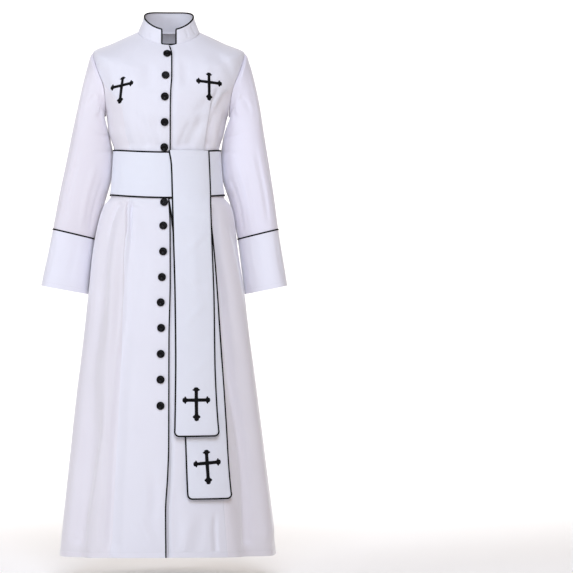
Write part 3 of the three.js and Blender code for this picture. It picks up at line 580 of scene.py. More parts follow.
def sleeve_surface(side, phi, ring):
    """phi is 0 at the sleeve's outer edge, 90 in front and 180 at its inner edge."""
    phi, ring = np.broadcast_arrays(np.asarray(phi, float), np.asarray(ring, float))
    outer_drop, outer_left, outer_right, inner_drop, inner_left, inner_right, centre_y, depth = (
        smooth_curve(SLEEVE[:, 0], SLEEVE[:, k], ring) for k in range(1, 9))
    outer_x, inner_x = (outer_left, inner_left) if side > 0 else (outer_right, inner_right)
    turn = np.radians(phi)
    hanging = ramp(ring, *SLEEVE_HANGS)
    square = SLEEVE_SQUARE * hanging * np.sin(2 * turn)
    share = (1 - np.cos(turn - square)) / 2
    slant = SLEEVE_SLANT * hanging * (2 * share - 1)
    closer = SLEEVE_CLOSER * hanging * share
    return np.stack([
        side * (outer_x + (inner_x - outer_x) * share - closer),
        centre_y - depth * np.sin(turn + square) + slant,
        -(outer_drop + (inner_drop - outer_drop) * share),
    ], -1)


def sleeve_normal(side, phi, ring):
    return -side * surface_normal(lambda p, r: sleeve_surface(side, p, r), phi, ring, 0.2,
                                  1, CUFF_HEM)


def sleeve_wall(side):
    """The sleeve head grows out of the armhole's edge, then the tube follows its rings."""
    phi = np.arange(0, 360, 2.5)
    share = (1 - np.cos(np.radians(phi))) / 2
    drop = SHOULDER + share * (UNDERARM - SHOULDER)
    angle = np.where(phi <= 180, side * armhole_angle(drop), side * (180 - armhole_angle(drop)))
    edge = body_surface(angle, drop)
    off_body = body_normal(angle, drop)
    first = sleeve_surface(side, phi, 1.0)
    down = unit(sleeve_surface(side, phi, 1.15) - first)
    gap = np.linalg.norm(first - edge, axis=-1, keepdims=True)
    leave = unit(first - edge) + off_body * HEAD_PUFF * (1 - share[:, None]) ** 0.5
    rows = []
    for t in np.linspace(0, 1, 9)[:-1]:
        start, end = 2 * t ** 3 - 3 * t * t + 1, 3 * t * t - 2 * t ** 3
        rows.append(edge * start + first * end + gap * leave * (t ** 3 - 2 * t * t + t)
                    + gap * down * (t ** 3 - t * t))
    rings = np.arange(1, CUFF_SEAM + 0.001, 0.06)
    rings[-1] = CUFF_SEAM
    tube = sleeve_surface(side, phi, rings[:, None])
    tube_normal = sleeve_normal(side, phi, rings[:, None])
    crease = np.stack([crease_lift(phi, -80 * ring + 0 * phi, SLEEVE_CREASES) for ring in rings])
    tube = tube + tube_normal * crease[..., None]
    skin = np.concatenate([np.array(rows), tube])
    around = np.concatenate([skin[:, -1:], skin, skin[:, :1]], 1)
    sideways = around[:, 2:] - around[:, :-2]
    lengthwise = np.gradient(skin, axis=0)
    off = unit(np.cross(lengthwise, sideways)) * -side
    far = arc_lengths(skin, 0)
    dip = SEAM_DIP * (1 - ramp(far, 0, SEAM_REACH)) + SLEEVE_END_DIP * (
        1 - ramp(far[-1] - far, 0, SEAM_REACH))
    outside = skin - off * dip[..., None]
    return outside, outside - off * CLOTH


for hand, side in HANDS:
    piece = cloth_wall(f"sleeve_{hand}", *sleeve_wall(side), sleeve_cloth_painted_light[hand],
                       looped=True)
    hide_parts(f"sleeve_{hand}")


# ---- Cuffs -----------------------------------------------------------------------------------
# Deep flared cuffs, two layers of suiting with a firm lining between, sewn to the sleeve over a
# corded piping and turned in at the hem.

CUFF_WALL = 1.8
CUFF_TOP_DIP, CUFF_EDGE = 0.8, 0.5         # how far its seam and its lower edge are drawn in
CUFF_STITCH, CUFF_STITCH_DIP = 12.0, 0.4   # the stitching above the lower edge
CUFF_CREASES = [
    ([(40, -650), (44, -720), (38, -790)], -1.0, 12, 12, 0.2, 0.3),
    ([(100, -645), (106, -700), (96, -780)], -1.2, 14, 12, 0.2, 0.4),
    ([(140, -660), (130, -730), (138, -792)], 0.9, 14, 14, 0.3, 0.2),
    ([(250, -650), (242, -720), (250, -790)], -1.2, 12, 12, 0.2, 0.3),
    ([(310, -660), (316, -730), (308, -792)], 0.9, 12, 12, 0.3, 0.2),
]

# The cuffs are tinted bluer than the body: painted light, for they are the same suiting.
cuff_cloth_painted_light = cloth_material("cuff cloth with painted light", (0.865, 0.86, 0.94), (0.83, 0.82, 0.90))

for hand, side in HANDS:
    phi = np.arange(0, 360, 3.0)
    rings = np.concatenate([[CUFF_SEAM, 8.02, 8.05], np.arange(8.1, 9.85, 0.07),
                            [9.85, 9.9, 9.94, 9.97, 9.99, CUFF_HEM]])
    skin = sleeve_surface(side, phi, rings[:, None])
    off = sleeve_normal(side, phi, rings[:, None])
    crease = np.stack([crease_lift(phi, -80 * ring + 0 * phi, CUFF_CREASES) for ring in rings])
    far = arc_lengths(skin, 0)
    edges = CUFF_TOP_DIP * (1 - ramp(far, 0, SEAM_REACH)) + CUFF_EDGE * (
        1 - ramp(far[-1] - far, 0, 2))
    stitched = CUFF_STITCH_DIP * np.exp(-((far[-1] - far - CUFF_STITCH) / STITCH_REACH) ** 2)
    outside = skin + off * (crease - edges - stitched)[..., None]
    piece = cloth_wall(f"cuff_{hand}", outside, outside - off * CUFF_WALL, cuff_cloth_painted_light, looped=True)
    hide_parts(f"cuff_{hand}")


# ---- Collar ----------------------------------------------------------------------------------
# A stand collar, interfaced so that it stands up by itself, cut back to a square notch in front.

NOTCH = 20.5              # half the notch's width
COLLAR_WALL = 1.8
NOTCH_EDGE, COLLAR_TOP_EDGE, NECK_SEAM_DIP = 0.5, 0.4, 0.9     # how far each is drawn in
# fall, front rise, side rise, back rise, half width, front, back
COLLAR = np.array([
    (0, 5, 46, 61, 66, 56, 46),
    (0.5, -14, 25, 35, 73.5, 59, 50.5),
    (1, -33, 5, 8, 82, 62, 55),
], float)
COLLAR_CREASES = [
    ([(38, -6), (42, -28), (40, -52)], -1.1, 6, 5, 0.2, 0.2),
    ([(58, -4), (60, -28), (64, -52)], -1.5, 6, 6, 0.15, 0.15),
    ([(70, -8), (73, -30), (72, -54)], 0.9, 5, 5, 0.2, 0.2),
    ([(88, -6), (86, -30), (92, -54)], -1.3, 7, 6, 0.15, 0.2),
    ([(318, -10), (314, -34), (318, -54)], -0.8, 7, 7, 0.3, 0.2),
    ([(276, -8), (280, -34), (274, -54)], -0.9, 7, 7, 0.3, 0.2),
    ([(150, -20), (156, -36), (150, -56)], -0.6, 9, 9, 0.3, 0.3),
    ([(206, -14), (200, -34), (206, -56)], -0.6, 9, 9, 0.3, 0.3),
]


def collar_surface(angle, fall):
    angle, fall = np.broadcast_arrays(np.asarray(angle, float), np.asarray(fall, float))
    front_rise, side_rise, back_rise, half_width, front, back = (
        smooth_curve(COLLAR[:, 0], COLLAR[:, k], fall) for k in range(1, 7))
    turn = np.radians(angle)
    c = np.cos(turn)
    ahead, behind = front_rise - side_rise, back_rise - side_rise
    return np.stack([
        half_width * np.sin(turn),
        -np.where(c > 0, front, back) * c,
        side_rise + c * (ahead - behind) / 2 + c * c * (ahead + behind) / 2,
    ], -1)


def collar_normal(angle, fall):
    return surface_normal(collar_surface, angle, fall, 0.05, 0, 1)


def collar_end(fall):
    """The angle at which the collar's front edge stands, beside the notch."""
    half_width = smooth_curve(COLLAR[:, 0], COLLAR[:, 4], fall)
    return np.degrees(np.arcsin(NOTCH / half_width))


falls = np.array([0, 0.015, 0.04, *np.arange(0.08, 0.93, 0.05), 0.95, 0.97, 0.985, 1])
end = collar_end(falls)[:, None]
angle = end + (360 - 2 * end) * np.linspace(0, 1, 191)
fall = np.broadcast_to(falls[:, None], angle.shape)
skin = collar_surface(angle, fall)
off = collar_normal(angle, fall)
across, far = arc_lengths(skin, 1), arc_lengths(skin, 0)
to_side = np.minimum(across, across[:, -1:] - across)
edges = (NOTCH_EDGE * (1 - ramp(to_side, 0, 2)) + COLLAR_TOP_EDGE * (1 - ramp(far, 0, 2))
         + NECK_SEAM_DIP * (1 - ramp(far[-1] - far, 0, SEAM_REACH)))
crease = crease_lift(angle % 360, -60 * fall, COLLAR_CREASES)
outside = skin + off * (crease - edges)[..., None]
collar = cloth_wall("collar", outside, outside - off * COLLAR_WALL, body_cloth)
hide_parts("collar")


# ---- Waist band --------------------------------------------------------------------------------
# The sash goes once round the waist: suiting over a stiff waistbanding, pressed flat.

BAND_OFF, BAND_WALL = 1.2, 2.2
BAND_TOP, BAND_FOOT = 309.5, 424.0     # drops of its edges at the sides
TOP_FALLS, FOOT_FALLS = (8.5, 12.5), (9.4, 11.0)       # how much lower in front and behind
BAND_CREASES = [
    ([(-132, -330), (-128, -380), (-140, -428)], -1.0, 7, 7, 0.2, 0.2),
    ([(-120, -345), (-60, -352), (-10, -346)], 0.5, 9, 12, 0.4, 0.4),
    ([(-96, -396), (-50, -390), (-20, -398)], -0.5, 10, 12, 0.4, 0.4),
    ([(124, -325), (120, -370), (126, -425)], -1.1, 6, 8, 0.2, 0.2),
    ([(-30, -330), (-14, -372), (-20, -420)], -0.5, 9, 9, 0.3, 0.3),
]
BAND_BACK_CREASES = [
    ([(-60, -350), (0, -356), (70, -348)], -0.5, 9, 12, 0.4, 0.4),
    ([(-90, -400), (-20, -392), (60, -402)], 0.4, 9, 12, 0.4, 0.4),
    ([(126, -326), (121, -372), (128, -426)], -1.0, 6, 7, 0.2, 0.2),
]

sash_cloth = cloth_material("sash cloth", (0.815, 0.83, 0.90), (0.775, 0.785, 0.855),
                            sheen=0.5, rough=0.72, soft_dents=0.8)


def band_edges(angle):
    turn = np.cos(np.radians(angle))
    top, bottom = (edge + np.where(turn > 0, *falls) * turn * turn
                   for edge, falls in ((BAND_TOP, TOP_FALLS), (BAND_FOOT, FOOT_FALLS)))
    return top, bottom


angle = np.arange(0, 360, 1.8)
top, bottom = band_edges(angle)
share = np.array([0, 0.006, 0.015, *np.linspace(0.03, 0.97, 30), 0.985, 0.994, 1])[:, None]
drop = top + (bottom - top) * share
spots = body_surface(angle, drop)
off = body_normal(angle, drop)
in_front = ramp(-spots[..., 1], -25, 25)
crease = (crease_lift(spots[..., 0], spots[..., 2], BAND_CREASES) * in_front
          + crease_lift(-spots[..., 0], spots[..., 2], BAND_BACK_CREASES) * (1 - in_front))
far = np.minimum(drop - top, bottom - drop)
edges = 0.6 * (1 - ramp(far, 0, 2))
outside = spots + off * (BAND_OFF + BAND_WALL + np.maximum(crease, -0.9) - edges)[..., None]
inside = spots + off * (BAND_OFF + edges * 0.5)[..., None]
band = cloth_wall("band", outside, inside, sash_cloth, looped=True)
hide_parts("band")


# ---- Sash ends ---------------------------------------------------------------------------------
# Two long ends with rounded corners, two layers of suiting bagged out and pressed. One hangs
# from the band's upper edge over its front, the other from under the band.

TAIL_WALL, TAIL_CORNER = 2.0, 10.0
FOOT_SWING, SWING_LENGTH = 8.0, 130.0      # how far the feet hang off the skirt
FRONT_TAIL_OFF, BACK_TAIL_OFF = 4.55, 1.0
# drop, x of the left edge, x of the right edge
FRONT_TAIL = np.array([
    (311, 2, 99), (350, 8, 101), (430, 10.5, 104), (545, 13.5, 107.5), (700, 17.5, 113),
    (860, 19, 115), (960, 18, 118.5), (1051, 16, 122),
], float)
BACK_TAIL = np.array([
    (440, 1.5, 99), (482, 8, 105), (600, 20, 117), (800, 32, 131), (1050, 44, 147),
    (1214, 49, 155),
], float)
FRONT_TAIL_CREASES = [
    ([(20, -318), (50, -330), (92, -322)], -0.8, 9, 9, 0.3, 0.3),
    ([(22, -430), (60, -445), (98, -436)], 1.6, 12, 16, 0.3, 0.3),
    ([(24, -470), (62, -492), (100, -478)], -1.3, 14, 14, 0.3, 0.3),
    ([(96, -520), (62, -560), (30, -588)], 1.2, 14, 14, 0.3, 0.3),
    ([(30, -640), (70, -672), (104, -668)], -1.4, 15, 15, 0.3, 0.3),
    ([(98, -700), (64, -742), (34, -768)], 1.3, 15, 15, 0.3, 0.3),
    ([(30, -800), (66, -824), (106, -818)], -1.3, 15, 15, 0.3, 0.3),
    ([(100, -858), (68, -884), (36, -892)], 1.1, 13, 13, 0.3, 0.3),
    ([(40, -1010), (70, -1022), (104, -1016)], -1.1, 12, 12, 0.3, 0.3),
    ([(58, -460), (64, -600), (72, -760)], 1.0, 20, 20, 0.3, 0.3),
]
BACK_TAIL_CREASES = [
    ([(128, -700), (136, -800), (140, -900)], -1.0, 10, 10, 0.3, 0.3),
    ([(62, -1075), (96, -1082), (136, -1074)], -1.1, 10, 10, 0.3, 0.3),
    ([(66, -1180), (100, -1188), (140, -1178)], 0.9, 10, 10, 0.3, 0.3),
    ([(64, -1160), (74, -1120), (70, -1080)], 0.8, 12, 12, 0.3, 0.3),
]


def tail_edge(edges, drop, which):
    return smooth_curve(edges[:, 0], edges[:, which], drop)


def foot_swing(drop, foot):
    return FOOT_SWING * np.clip(1 - (foot - drop) / SWING_LENGTH, 0, 1) ** 2


def tail_wall(edges, stand_off, creases):
    top, foot = edges[0, 0], edges[-1, 0]
    rows = np.concatenate([np.arange(top, foot - 14, 4.5), foot - np.array(
        [10, 9, 8, 7, 6, 5, 4, 3, 2.2, 1.5, 1, 0.6, 0.3, 0.1, 0])])
    up = np.clip(TAIL_CORNER - (foot - rows), 0, TAIL_CORNER)
    inset = TAIL_CORNER - np.sqrt(TAIL_CORNER ** 2 - up ** 2)
    left = tail_edge(edges, rows, 1) + inset
    right = tail_edge(edges, rows, 2) - inset
    way = np.concatenate([[0, 0.006, 0.016], np.linspace(0.035, 0.965, 26), [0.984, 0.994, 1]])
    x = left[:, None] + (right - left)[:, None] * way
    drop = np.broadcast_to(rows[:, None], x.shape)
    angle = front_angle(x, drop)
    skin = body_surface(angle, drop, False)
    off = body_normal(angle, drop, False)
    far = np.minimum(np.minimum(x - left[:, None], right[:, None] - x), foot - drop)
    edge = 0.7 * (1 - ramp(far, 0, 2.2))
    lift = np.maximum(crease_lift(skin[..., 0], skin[..., 2], creases), -0.9)
    out = stand_off + foot_swing(drop, foot)
    outside = skin + off * (out + TAIL_WALL + lift - edge)[..., None]
    inside = skin + off * (out + edge * 0.4)[..., None]
    return outside, inside


for name, edges, stand_off, creases, flat, area, below in (
        ("tail_front", FRONT_TAIL, FRONT_TAIL_OFF, FRONT_TAIL_CREASES, (0.107, 0.75), 0.0763,
         "band"),
        ("tail_back", BACK_TAIL, BACK_TAIL_OFF, BACK_TAIL_CREASES, (0.110, 0.78), 0.0829,
         "front_left")):
    piece = cloth_wall(name, *tail_wall(edges, stand_off, creases), sash_cloth)
    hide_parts(name)


# ---- Piping ------------------------------------------------------------------------------------
# Cotton cord covered with bias-cut black satin: round the collar, down the right front's edge,
# along both edges of the band, round the sash ends and between each sleeve and cuff.

CORD_RADIUS = 2.05
CORD_REACH = 1.7      # from a cloth edge to the cord's middle
CORD_SIDES = 10
FRONT_CORD_SINK, CUFF_CORD_SINK = 1.0, 0.7     # how deep it lies between the two cloths

piping_satin = new_material("black piping", Roughness=0.6, Specular_IOR_Level=0.08)
bias = add_threads(piping_satin.node_tree, "DIAGONAL", Scale=260.0, Distortion=0.8)
two_shades(piping_satin.node_tree, bias, (0.001, 0.001, 0.0015), (0.003, 0.003, 0.004))
add_bump(piping_satin.node_tree, bias, 0.5, 0.00015)


def make_piping(name, path, away, closed=False):
    """A covered cord along a path; away points off the cloth at each of its points."""
    if closed:
        along = unit(np.roll(path, -1, 0) - np.roll(path, 1, 0))
    else:
        along = unit(np.gradient(path, axis=0))
    sideways = unit(np.cross(along, away))
    up = np.cross(sideways, along)
    turn = np.linspace(0, 2 * np.pi, CORD_SIDES, endpoint=False)[None, :, None]
    spokes = up[:, None] * np.cos(turn) + sideways[:, None] * np.sin(turn)
    rings = path[:, None] + CORD_RADIUS * spokes
    count = len(path)
    grid = np.arange(count * CORD_SIDES).reshape(count, CORD_SIDES)
    grid = np.concatenate([grid, grid[:, :1]], 1)
    if closed:
        grid = np.concatenate([grid, grid[:1]])
    faces = np.stack([grid[:-1, :-1], grid[:-1, 1:], grid[1:, 1:], grid[1:, :-1]], -1)
    faces = faces.reshape(-1, 4)
    if not closed:
        for ring, turned in ((grid[0], 1), (grid[-1], -1)):
            for k in range(1, CORD_SIDES - 2, 2):
                cap = np.array([ring[0], ring[k], ring[k + 1], ring[k + 2]])
                faces = np.concatenate([faces, cap[None, ::-turned]])
    far = np.concatenate([[0], np.cumsum(np.linalg.norm(np.diff(path, axis=0), axis=1))])
    uv = np.stack(np.broadcast_arrays(
        np.arange(CORD_SIDES)[None] * 2 * np.pi * CORD_RADIUS / CORD_SIDES, far[:, None]), -1)
    piece = make_piece(name, rings.reshape(-1, 3), faces, uv.reshape(-1, 2), piping_satin)
    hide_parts(name)
    return piece


def off_neck_edge(angle):
    return unit(body_surface(angle, NECK) - body_surface(angle, NECK + 2))


def collar_cord():
    """Round the top edge, down the notch, along its foot and up the other side."""
    path, away = [], []

    def lay(angle, fall, across=0.0, above=0.0):
        off = collar_normal(angle, fall)
        rise = unit(collar_surface(angle, 0) - collar_surface(angle, 0.05))
        path.append(collar_surface(angle, fall) - off * COLLAR_WALL / 2
                    + np.array([across, 0, 0]) + rise * above)
        away.append(off)

    corner = CORD_REACH * 0.75
    top_end = float(collar_end(0)) + 1.5
    for angle in np.linspace(top_end, 360 - top_end, 150):
        lay(angle, 0, above=CORD_REACH)
    lay(-float(collar_end(0)), 0, corner, corner)
    for fall in np.linspace(0.03, 0.92, 16):
        lay(-float(collar_end(fall)), fall, CORD_REACH)
    for x in np.linspace(-NOTCH + 3.5, NOTCH - 3.5, 14):
        angle = front_angle(x, NECK)
        off = body_normal(angle, NECK)
        path.append(body_surface(angle, NECK) - off * CLOTH / 2
                    + off_neck_edge(angle) * CORD_REACH)
        away.append(off)
    for fall in np.linspace(0.92, 0.03, 16):
        lay(float(collar_end(fall)), fall, -CORD_REACH)
    lay(float(collar_end(0)), 0, -corner, corner)
    return np.array(path), np.array(away)


make_piping("piping_collar", *collar_cord(), closed=True)

drop = np.concatenate([np.arange(NECK + 2, HEM, 6.0), [HEM]])
angle = front_angle(closing_edge(drop) + CORD_REACH, drop)
off = body_normal(angle, drop)
skin = body_surface(angle, drop)
make_piping("piping_front", skin + off * (body_creases(skin, drop) - FRONT_CORD_SINK)[:, None], off)

for edge_name, beyond in (("top", -CORD_REACH), ("bottom", CORD_REACH)):
    angle = np.arange(0, 360, 2.0)
    drop = band_edges(angle)[edge_name == "bottom"] + beyond
    off = body_normal(angle, drop)
    make_piping(f"piping_band_{edge_name}",
                body_surface(angle, drop) + off * (BAND_OFF + BAND_WALL / 2), off, closed=True)


def tail_cord(edges, stand_off):
    """Down the left edge, round both corners of the foot and up the right edge."""
    top, foot = edges[0, 0], edges[-1, 0]
    radius = TAIL_CORNER + CORD_REACH
    long_rows = np.concatenate([np.arange(top, foot - 2 * TAIL_CORNER, 6.0),
                                [foot - 1.5 * TAIL_CORNER]])
    left = tail_edge(edges, foot, 1) + TAIL_CORNER
    right = tail_edge(edges, foot, 2) - TAIL_CORNER
    turn = np.radians(np.arange(0, 91, 9))
    sweep, fall = radius * np.cos(turn), foot - TAIL_CORNER + radius * np.sin(turn)
    flat = np.linspace(left, right, 18)[1:-1]
    x = np.concatenate([tail_edge(edges, long_rows, 1) - CORD_REACH, left - sweep, flat,
                        (right + sweep)[::-1], tail_edge(edges, long_rows[::-1], 2) + CORD_REACH])
    drop = np.concatenate([long_rows, fall, np.full(len(flat), foot + CORD_REACH), fall[::-1],
                           long_rows[::-1]])
    angle = front_angle(x, drop)
    off = body_normal(angle, drop, False)
    out = stand_off + TAIL_WALL / 2 + foot_swing(drop, foot)
    return body_surface(angle, drop, False) + off * out[:, None], off


make_piping("piping_tail_front", *tail_cord(FRONT_TAIL, FRONT_TAIL_OFF))
make_piping("piping_tail_back", *tail_cord(BACK_TAIL, BACK_TAIL_OFF))

for hand, side in HANDS:
    phi = np.arange(0, 360, 3.0)
    off = sleeve_normal(side, phi, CUFF_SEAM)
    make_piping(f"piping_cuff_{hand}",
                sleeve_surface(side, phi, CUFF_SEAM) - off * CUFF_CORD_SINK, off, closed=True)


# ---- Buttons -----------------------------------------------------------------------------------
# Black polished buttons, 20 mm across, turned with a raised rim and a sunk face, sewn through
# four holes with black thread. Fourteen close the front and three are sewn on each cuff.

# Profile from the back's middle to the face's middle: radius, height
BUTTON = np.array([
    (0, 0), (8.6, 0), (9.9, 0.7), (10.5, 1.8), (10.4, 2.8), (9.7, 3.7), (8.8, 4.1), (7.9, 3.8),
    (7.2, 3.1), (6.2, 2.75), (5.4, 2.8), (5.0, 3.15), (4.5, 3.2), (4.1, 2.8), (2.5, 2.65),
    (0, 2.6),
], float)
FRONT_BUTTONS = [
    (-58.5, -4.5, 0.4), (-117, -8.5, 0.3), (-173, -10.5, 0.3), (-239, -11, 0.4), (-303.5, -12, 0.9),
    (-447.5, -12.5, 0.8), (-508.5, -14.5, 0.3), (-575.5, -15, 0.3), (-642, -18, 0.3),
    (-707.5, -21, 0.3), (-773.5, -20, 0.3), (-840.5, -21, 0.3), (-906.5, -21.5, 0.3),
    (-973.5, -21.5, 0.3),
]      # height, x, clearance from the cloth
CUFF_BUTTON_RINGS = (8.35, 8.98, 9.6)
CUFF_BUTTON_ANGLES = {"right": -72, "left": -60}
CUFF_BUTTON_CLEAR = 0.3
BUTTON_SIDES = 28
THREAD_REACH, THREAD_HALF = 2.2, 0.4       # how far the crossed threads reach, their half width

horn = new_material("black button", Specular_IOR_Level=0.13)
tree = horn.node_tree
cloudy = add_noise(tree, Scale=140.0, Detail=4.0)
two_shades(tree, cloudy, (0.0015, 0.0015, 0.002), (0.006, 0.0055, 0.007))
polish = add_node(tree, "ShaderNodeMapRange", To_Min=0.22, To_Max=0.34)
tree.links.new(cloudy, polish.inputs["Value"])
tree.links.new(polish.outputs["Result"], tree.nodes["Principled BSDF"].inputs["Roughness"])


def front_point(x, z, out, with_creases=False):
    """A point on the front by its x and z, and the direction off the cloth there."""
    x, z = np.broadcast_arrays(np.asarray(x, float), np.asarray(z, float))
    low, high = np.full(x.shape, NECK), np.full(x.shape, HEM)
    for _ in range(22):
        middle = (low + high) / 2
        above = -body_surface(front_angle(x, middle), middle, False)[..., 2] < -z
        low, high = np.where(above, middle, low), np.where(above, high, middle)
    drop = (low + high) / 2
    angle = front_angle(x, drop)
    off = body_normal(angle, drop, False)
    point = body_surface(angle, drop, False)
    if with_creases:
        out = out + body_creases(point, drop)
    return point + off * np.asarray(out)[..., None], off


def make_button(name, point, away):
    """The turned profile, with four sewing holes' threads crossing its face."""
    away = unit(away)
    right = unit(np.cross(away, np.array([0.13, 0.2, 1.0])))
    up = np.cross(away, right)
    turn = np.linspace(0, 2 * np.pi, BUTTON_SIDES, endpoint=False)
    spin = right[None] * np.cos(turn)[:, None] + up[None] * np.sin(turn)[:, None]
    rings = (point + BUTTON[:, None, 1:] * away + BUTTON[:, None, :1] * spin[None])
    count = len(BUTTON)
    grid = np.arange(count * BUTTON_SIDES).reshape(count, BUTTON_SIDES)
    grid = np.concatenate([grid, grid[:, :1]], 1)
    faces = np.stack([grid[:-1, :-1], grid[1:, :-1], grid[1:, 1:], grid[:-1, 1:]], -1)
    points = rings.reshape(-1, 3)
    spots = np.stack([np.outer(BUTTON[:, 0], np.cos(turn)).ravel(),
                      np.outer(BUTTON[:, 0], np.sin(turn)).ravel()], -1)
    button = make_piece(name, points, faces.reshape(-1, 4), spots, horn)
    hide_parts(name)
    threads = []
    for lean, over in ((45, 0.3), (-45, 0.55)):
        way = right * math.cos(math.radians(lean)) + up * math.sin(math.radians(lean))
        beside = np.cross(away, way)
        for step in np.linspace(-THREAD_REACH, THREAD_REACH, 5):
            arch = over + 0.5 * (1 - (step / THREAD_REACH) ** 2)
            middle = point + away * (2.55 + arch) + way * step
            threads.append([middle - beside * THREAD_HALF, middle + away * 0.25,
                            middle + beside * THREAD_HALF, middle - away * 0.3])
    threads = np.array(threads)
    faces = []
    for half in range(2):
        for k in range(4):
            a = (half * 5 + k) * 4
            faces += [[a + j, a + (j + 1) % 4, a + 4 + (j + 1) % 4, a + 4 + j] for j in range(4)]
        first, last = half * 20, half * 20 + 16
        faces += [[first + 3, first + 2, first + 1, first], [last, last + 1, last + 2, last + 3]]
    sewing = make_piece(f"{name}_thread", threads.reshape(-1, 3), np.array(faces),
                        threads.reshape(-1, 3)[:, [0, 2]], piping_satin)


for k, (z, x, clearance) in enumerate(FRONT_BUTTONS, 1):
    point, off = front_point(x, z, clearance, with_creases=True)
    make_button(f"button_{k:02d}", point, off)
for hand, side in HANDS:
    for k, ring in enumerate(CUFF_BUTTON_RINGS, 1):
        phi = CUFF_BUTTON_ANGLES[hand]
        off = sleeve_normal(side, phi, ring)
        make_button(f"cuff_button_{hand}_{k}",
                    sleeve_surface(side, phi, ring) + off * CUFF_BUTTON_CLEAR, off)


# ---- Crosses -----------------------------------------------------------------------------------
# Black crosses with budded ends, worked in padded satin stitch on a backing and sewn on: one on
# each side of the chest and one near the foot of each sash end.

CROSS_HEIGHT = 1.5
BACKING = 0.3             # under the stitches
# name, the sash end under it with its distance off the body, x, z, reach above, below and of each
# arm, half width, lean of the upright and of the bar in degrees
CROSSES = [
    ("cross_chest_right", None, -122.5, -143, 23, 47, 31, 4, 7, 11),
    ("cross_chest_left", None, 104.5, -134, 25, 48, 34, 4, -1, -6),
    ("cross_tail_front", (FRONT_TAIL, FRONT_TAIL_OFF), 69, -960, 33, 54, 35, 4.7, 0, 0),
    ("cross_tail_back", (BACK_TAIL, BACK_TAIL_OFF), 97, -1121, 34, 54.5, 35, 4.7, -3, 4),
]
# Along an arm: share of the way from the middle to the tip, half width in stems
BUD = np.array([
    (0, 1), (0.3, 0.92), (0.6, 0.9), (0.69, 0.98), (0.735, 1.5), (0.775, 2.0), (0.815, 2.05),
    (0.85, 1.7), (0.88, 1.25), (0.91, 1.2), (0.945, 1.15), (0.975, 0.85), (1, 0.3),
], float)

satin_stitch = new_material("satin stitch", Roughness=0.5, Anisotropic=0.4,
                            Specular_IOR_Level=0.1)
floss = add_threads(satin_stitch.node_tree, "Y", Scale=330.0, Distortion=0.5)
two_shades(satin_stitch.node_tree, floss, (0.001, 0.001, 0.001), (0.005, 0.0045, 0.006))
add_bump(satin_stitch.node_tree, floss, 0.7, 0.0002)


def cross_arm(reach, stem, sideways, upwards):
    """One arm as a grid of flat points, their height and their place along the stitches."""
    way = np.concatenate([np.linspace(0, 0.66, 12), np.linspace(0.69, 1, 24)])
    half = smooth_curve(BUD[:, 0], BUD[:, 1], way) * stem
    share = np.linspace(-1, 1, 11)
    along = np.broadcast_to((way * reach)[:, None], (len(way), len(share)))
    beside = half[:, None] * share
    tip = np.sqrt(np.clip((1 - way) * reach / 3, 0, 1))[:, None]
    dome = np.sqrt(np.clip(1 - share ** 2, 0, 1)) * np.maximum(tip, 0.05)
    a = along * sideways + beside * upwards
    b = along * upwards - beside * sideways
    return a, b, dome, beside, along


for name, sash_end, x, z, above, below, arm, stem, lean, tilt in CROSSES:
    lean, tilt = math.radians(lean), math.radians(tilt)
    points, faces, uv, count = [], [], [], 0
    for layer, (reach, sideways, upwards) in enumerate((
            (above, 0, 1), (below, 0, -1), (arm, 1, 0), (arm, -1, 0))):
        a, b, dome, beside, along = cross_arm(reach, stem, sideways, upwards)
        px = x + a * math.cos(tilt) + b * math.sin(lean)
        pz = z + a * math.sin(tilt) + b * math.cos(lean)
        raised = (CROSS_HEIGHT - 0.1 * layer) * dome
        out = BACKING + 0.05 + raised
        if sash_end:
            edges, stand_off = sash_end
            out = out + stand_off + TAIL_WALL + foot_swing(-pz, edges[-1, 0])
        top, off = front_point(px, pz, out, with_creases=not sash_end)
        under = top - off * (raised + BACKING)[..., None]
        faces.append(wall_faces(*a.shape) + count)
        points += [top.reshape(-1, 3), under.reshape(-1, 3)]
        flat = np.stack([beside, along], -1).reshape(-1, 2)
        uv += [flat, flat]
        count += 2 * a.size
    cross = make_piece(name, np.concatenate(points), np.concatenate(faces), np.concatenate(uv),
                       satin_stitch)
    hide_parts(name)


# ---- Machine stitching ---------------------------------------------------------------------------
# Lockstitch in white polyester thread: the hem, the cuffs' hems and a row just inside the
# piping of the front edge.

STITCH, STITCH_GAP, THREAD_RADIUS = 2.6, 0.8, 0.22
EDGE_STITCH = 4.0         # the front's row beside its edge
CUFF_STITCH_RING = 9.84

thread_white = new_material("white thread", Roughness=0.55, Sheen_Weight=0.2)
two_shades(thread_white.node_tree, add_noise(thread_white.node_tree, Scale=900.0),
           (0.66, 0.65, 0.71), (0.80, 0.79, 0.85))

stitcher = bpy.data.node_groups.new("stitch row", "GeometryNodeTree")
stitcher.interface.new_socket("Geometry", in_out="INPUT", socket_type="NodeSocketGeometry")
for label in ("Spacing", "Length", "Thread radius"):
    stitcher.interface.new_socket(label, in_out="INPUT", socket_type="NodeSocketFloat")
stitcher.interface.new_socket("Geometry", in_out="OUTPUT", socket_type="NodeSocketGeometry")
enter, leave, curve, places, aim, stitch, stitches, real, finish = (
    stitcher.nodes.new(kind) for kind in (
        "NodeGroupInput", "NodeGroupOutput", "GeometryNodeMeshToCurve",
        "GeometryNodeCurveToPoints", "FunctionNodeAlignRotationToVector",
        "GeometryNodeMeshCylinder", "GeometryNodeInstanceOnPoints",
        "GeometryNodeRealizeInstances", "GeometryNodeSetMaterial"))
places.mode = "LENGTH"
aim.axis = "Z"
set_inputs(stitch, Vertices=6)
set_inputs(finish, Material=thread_white)
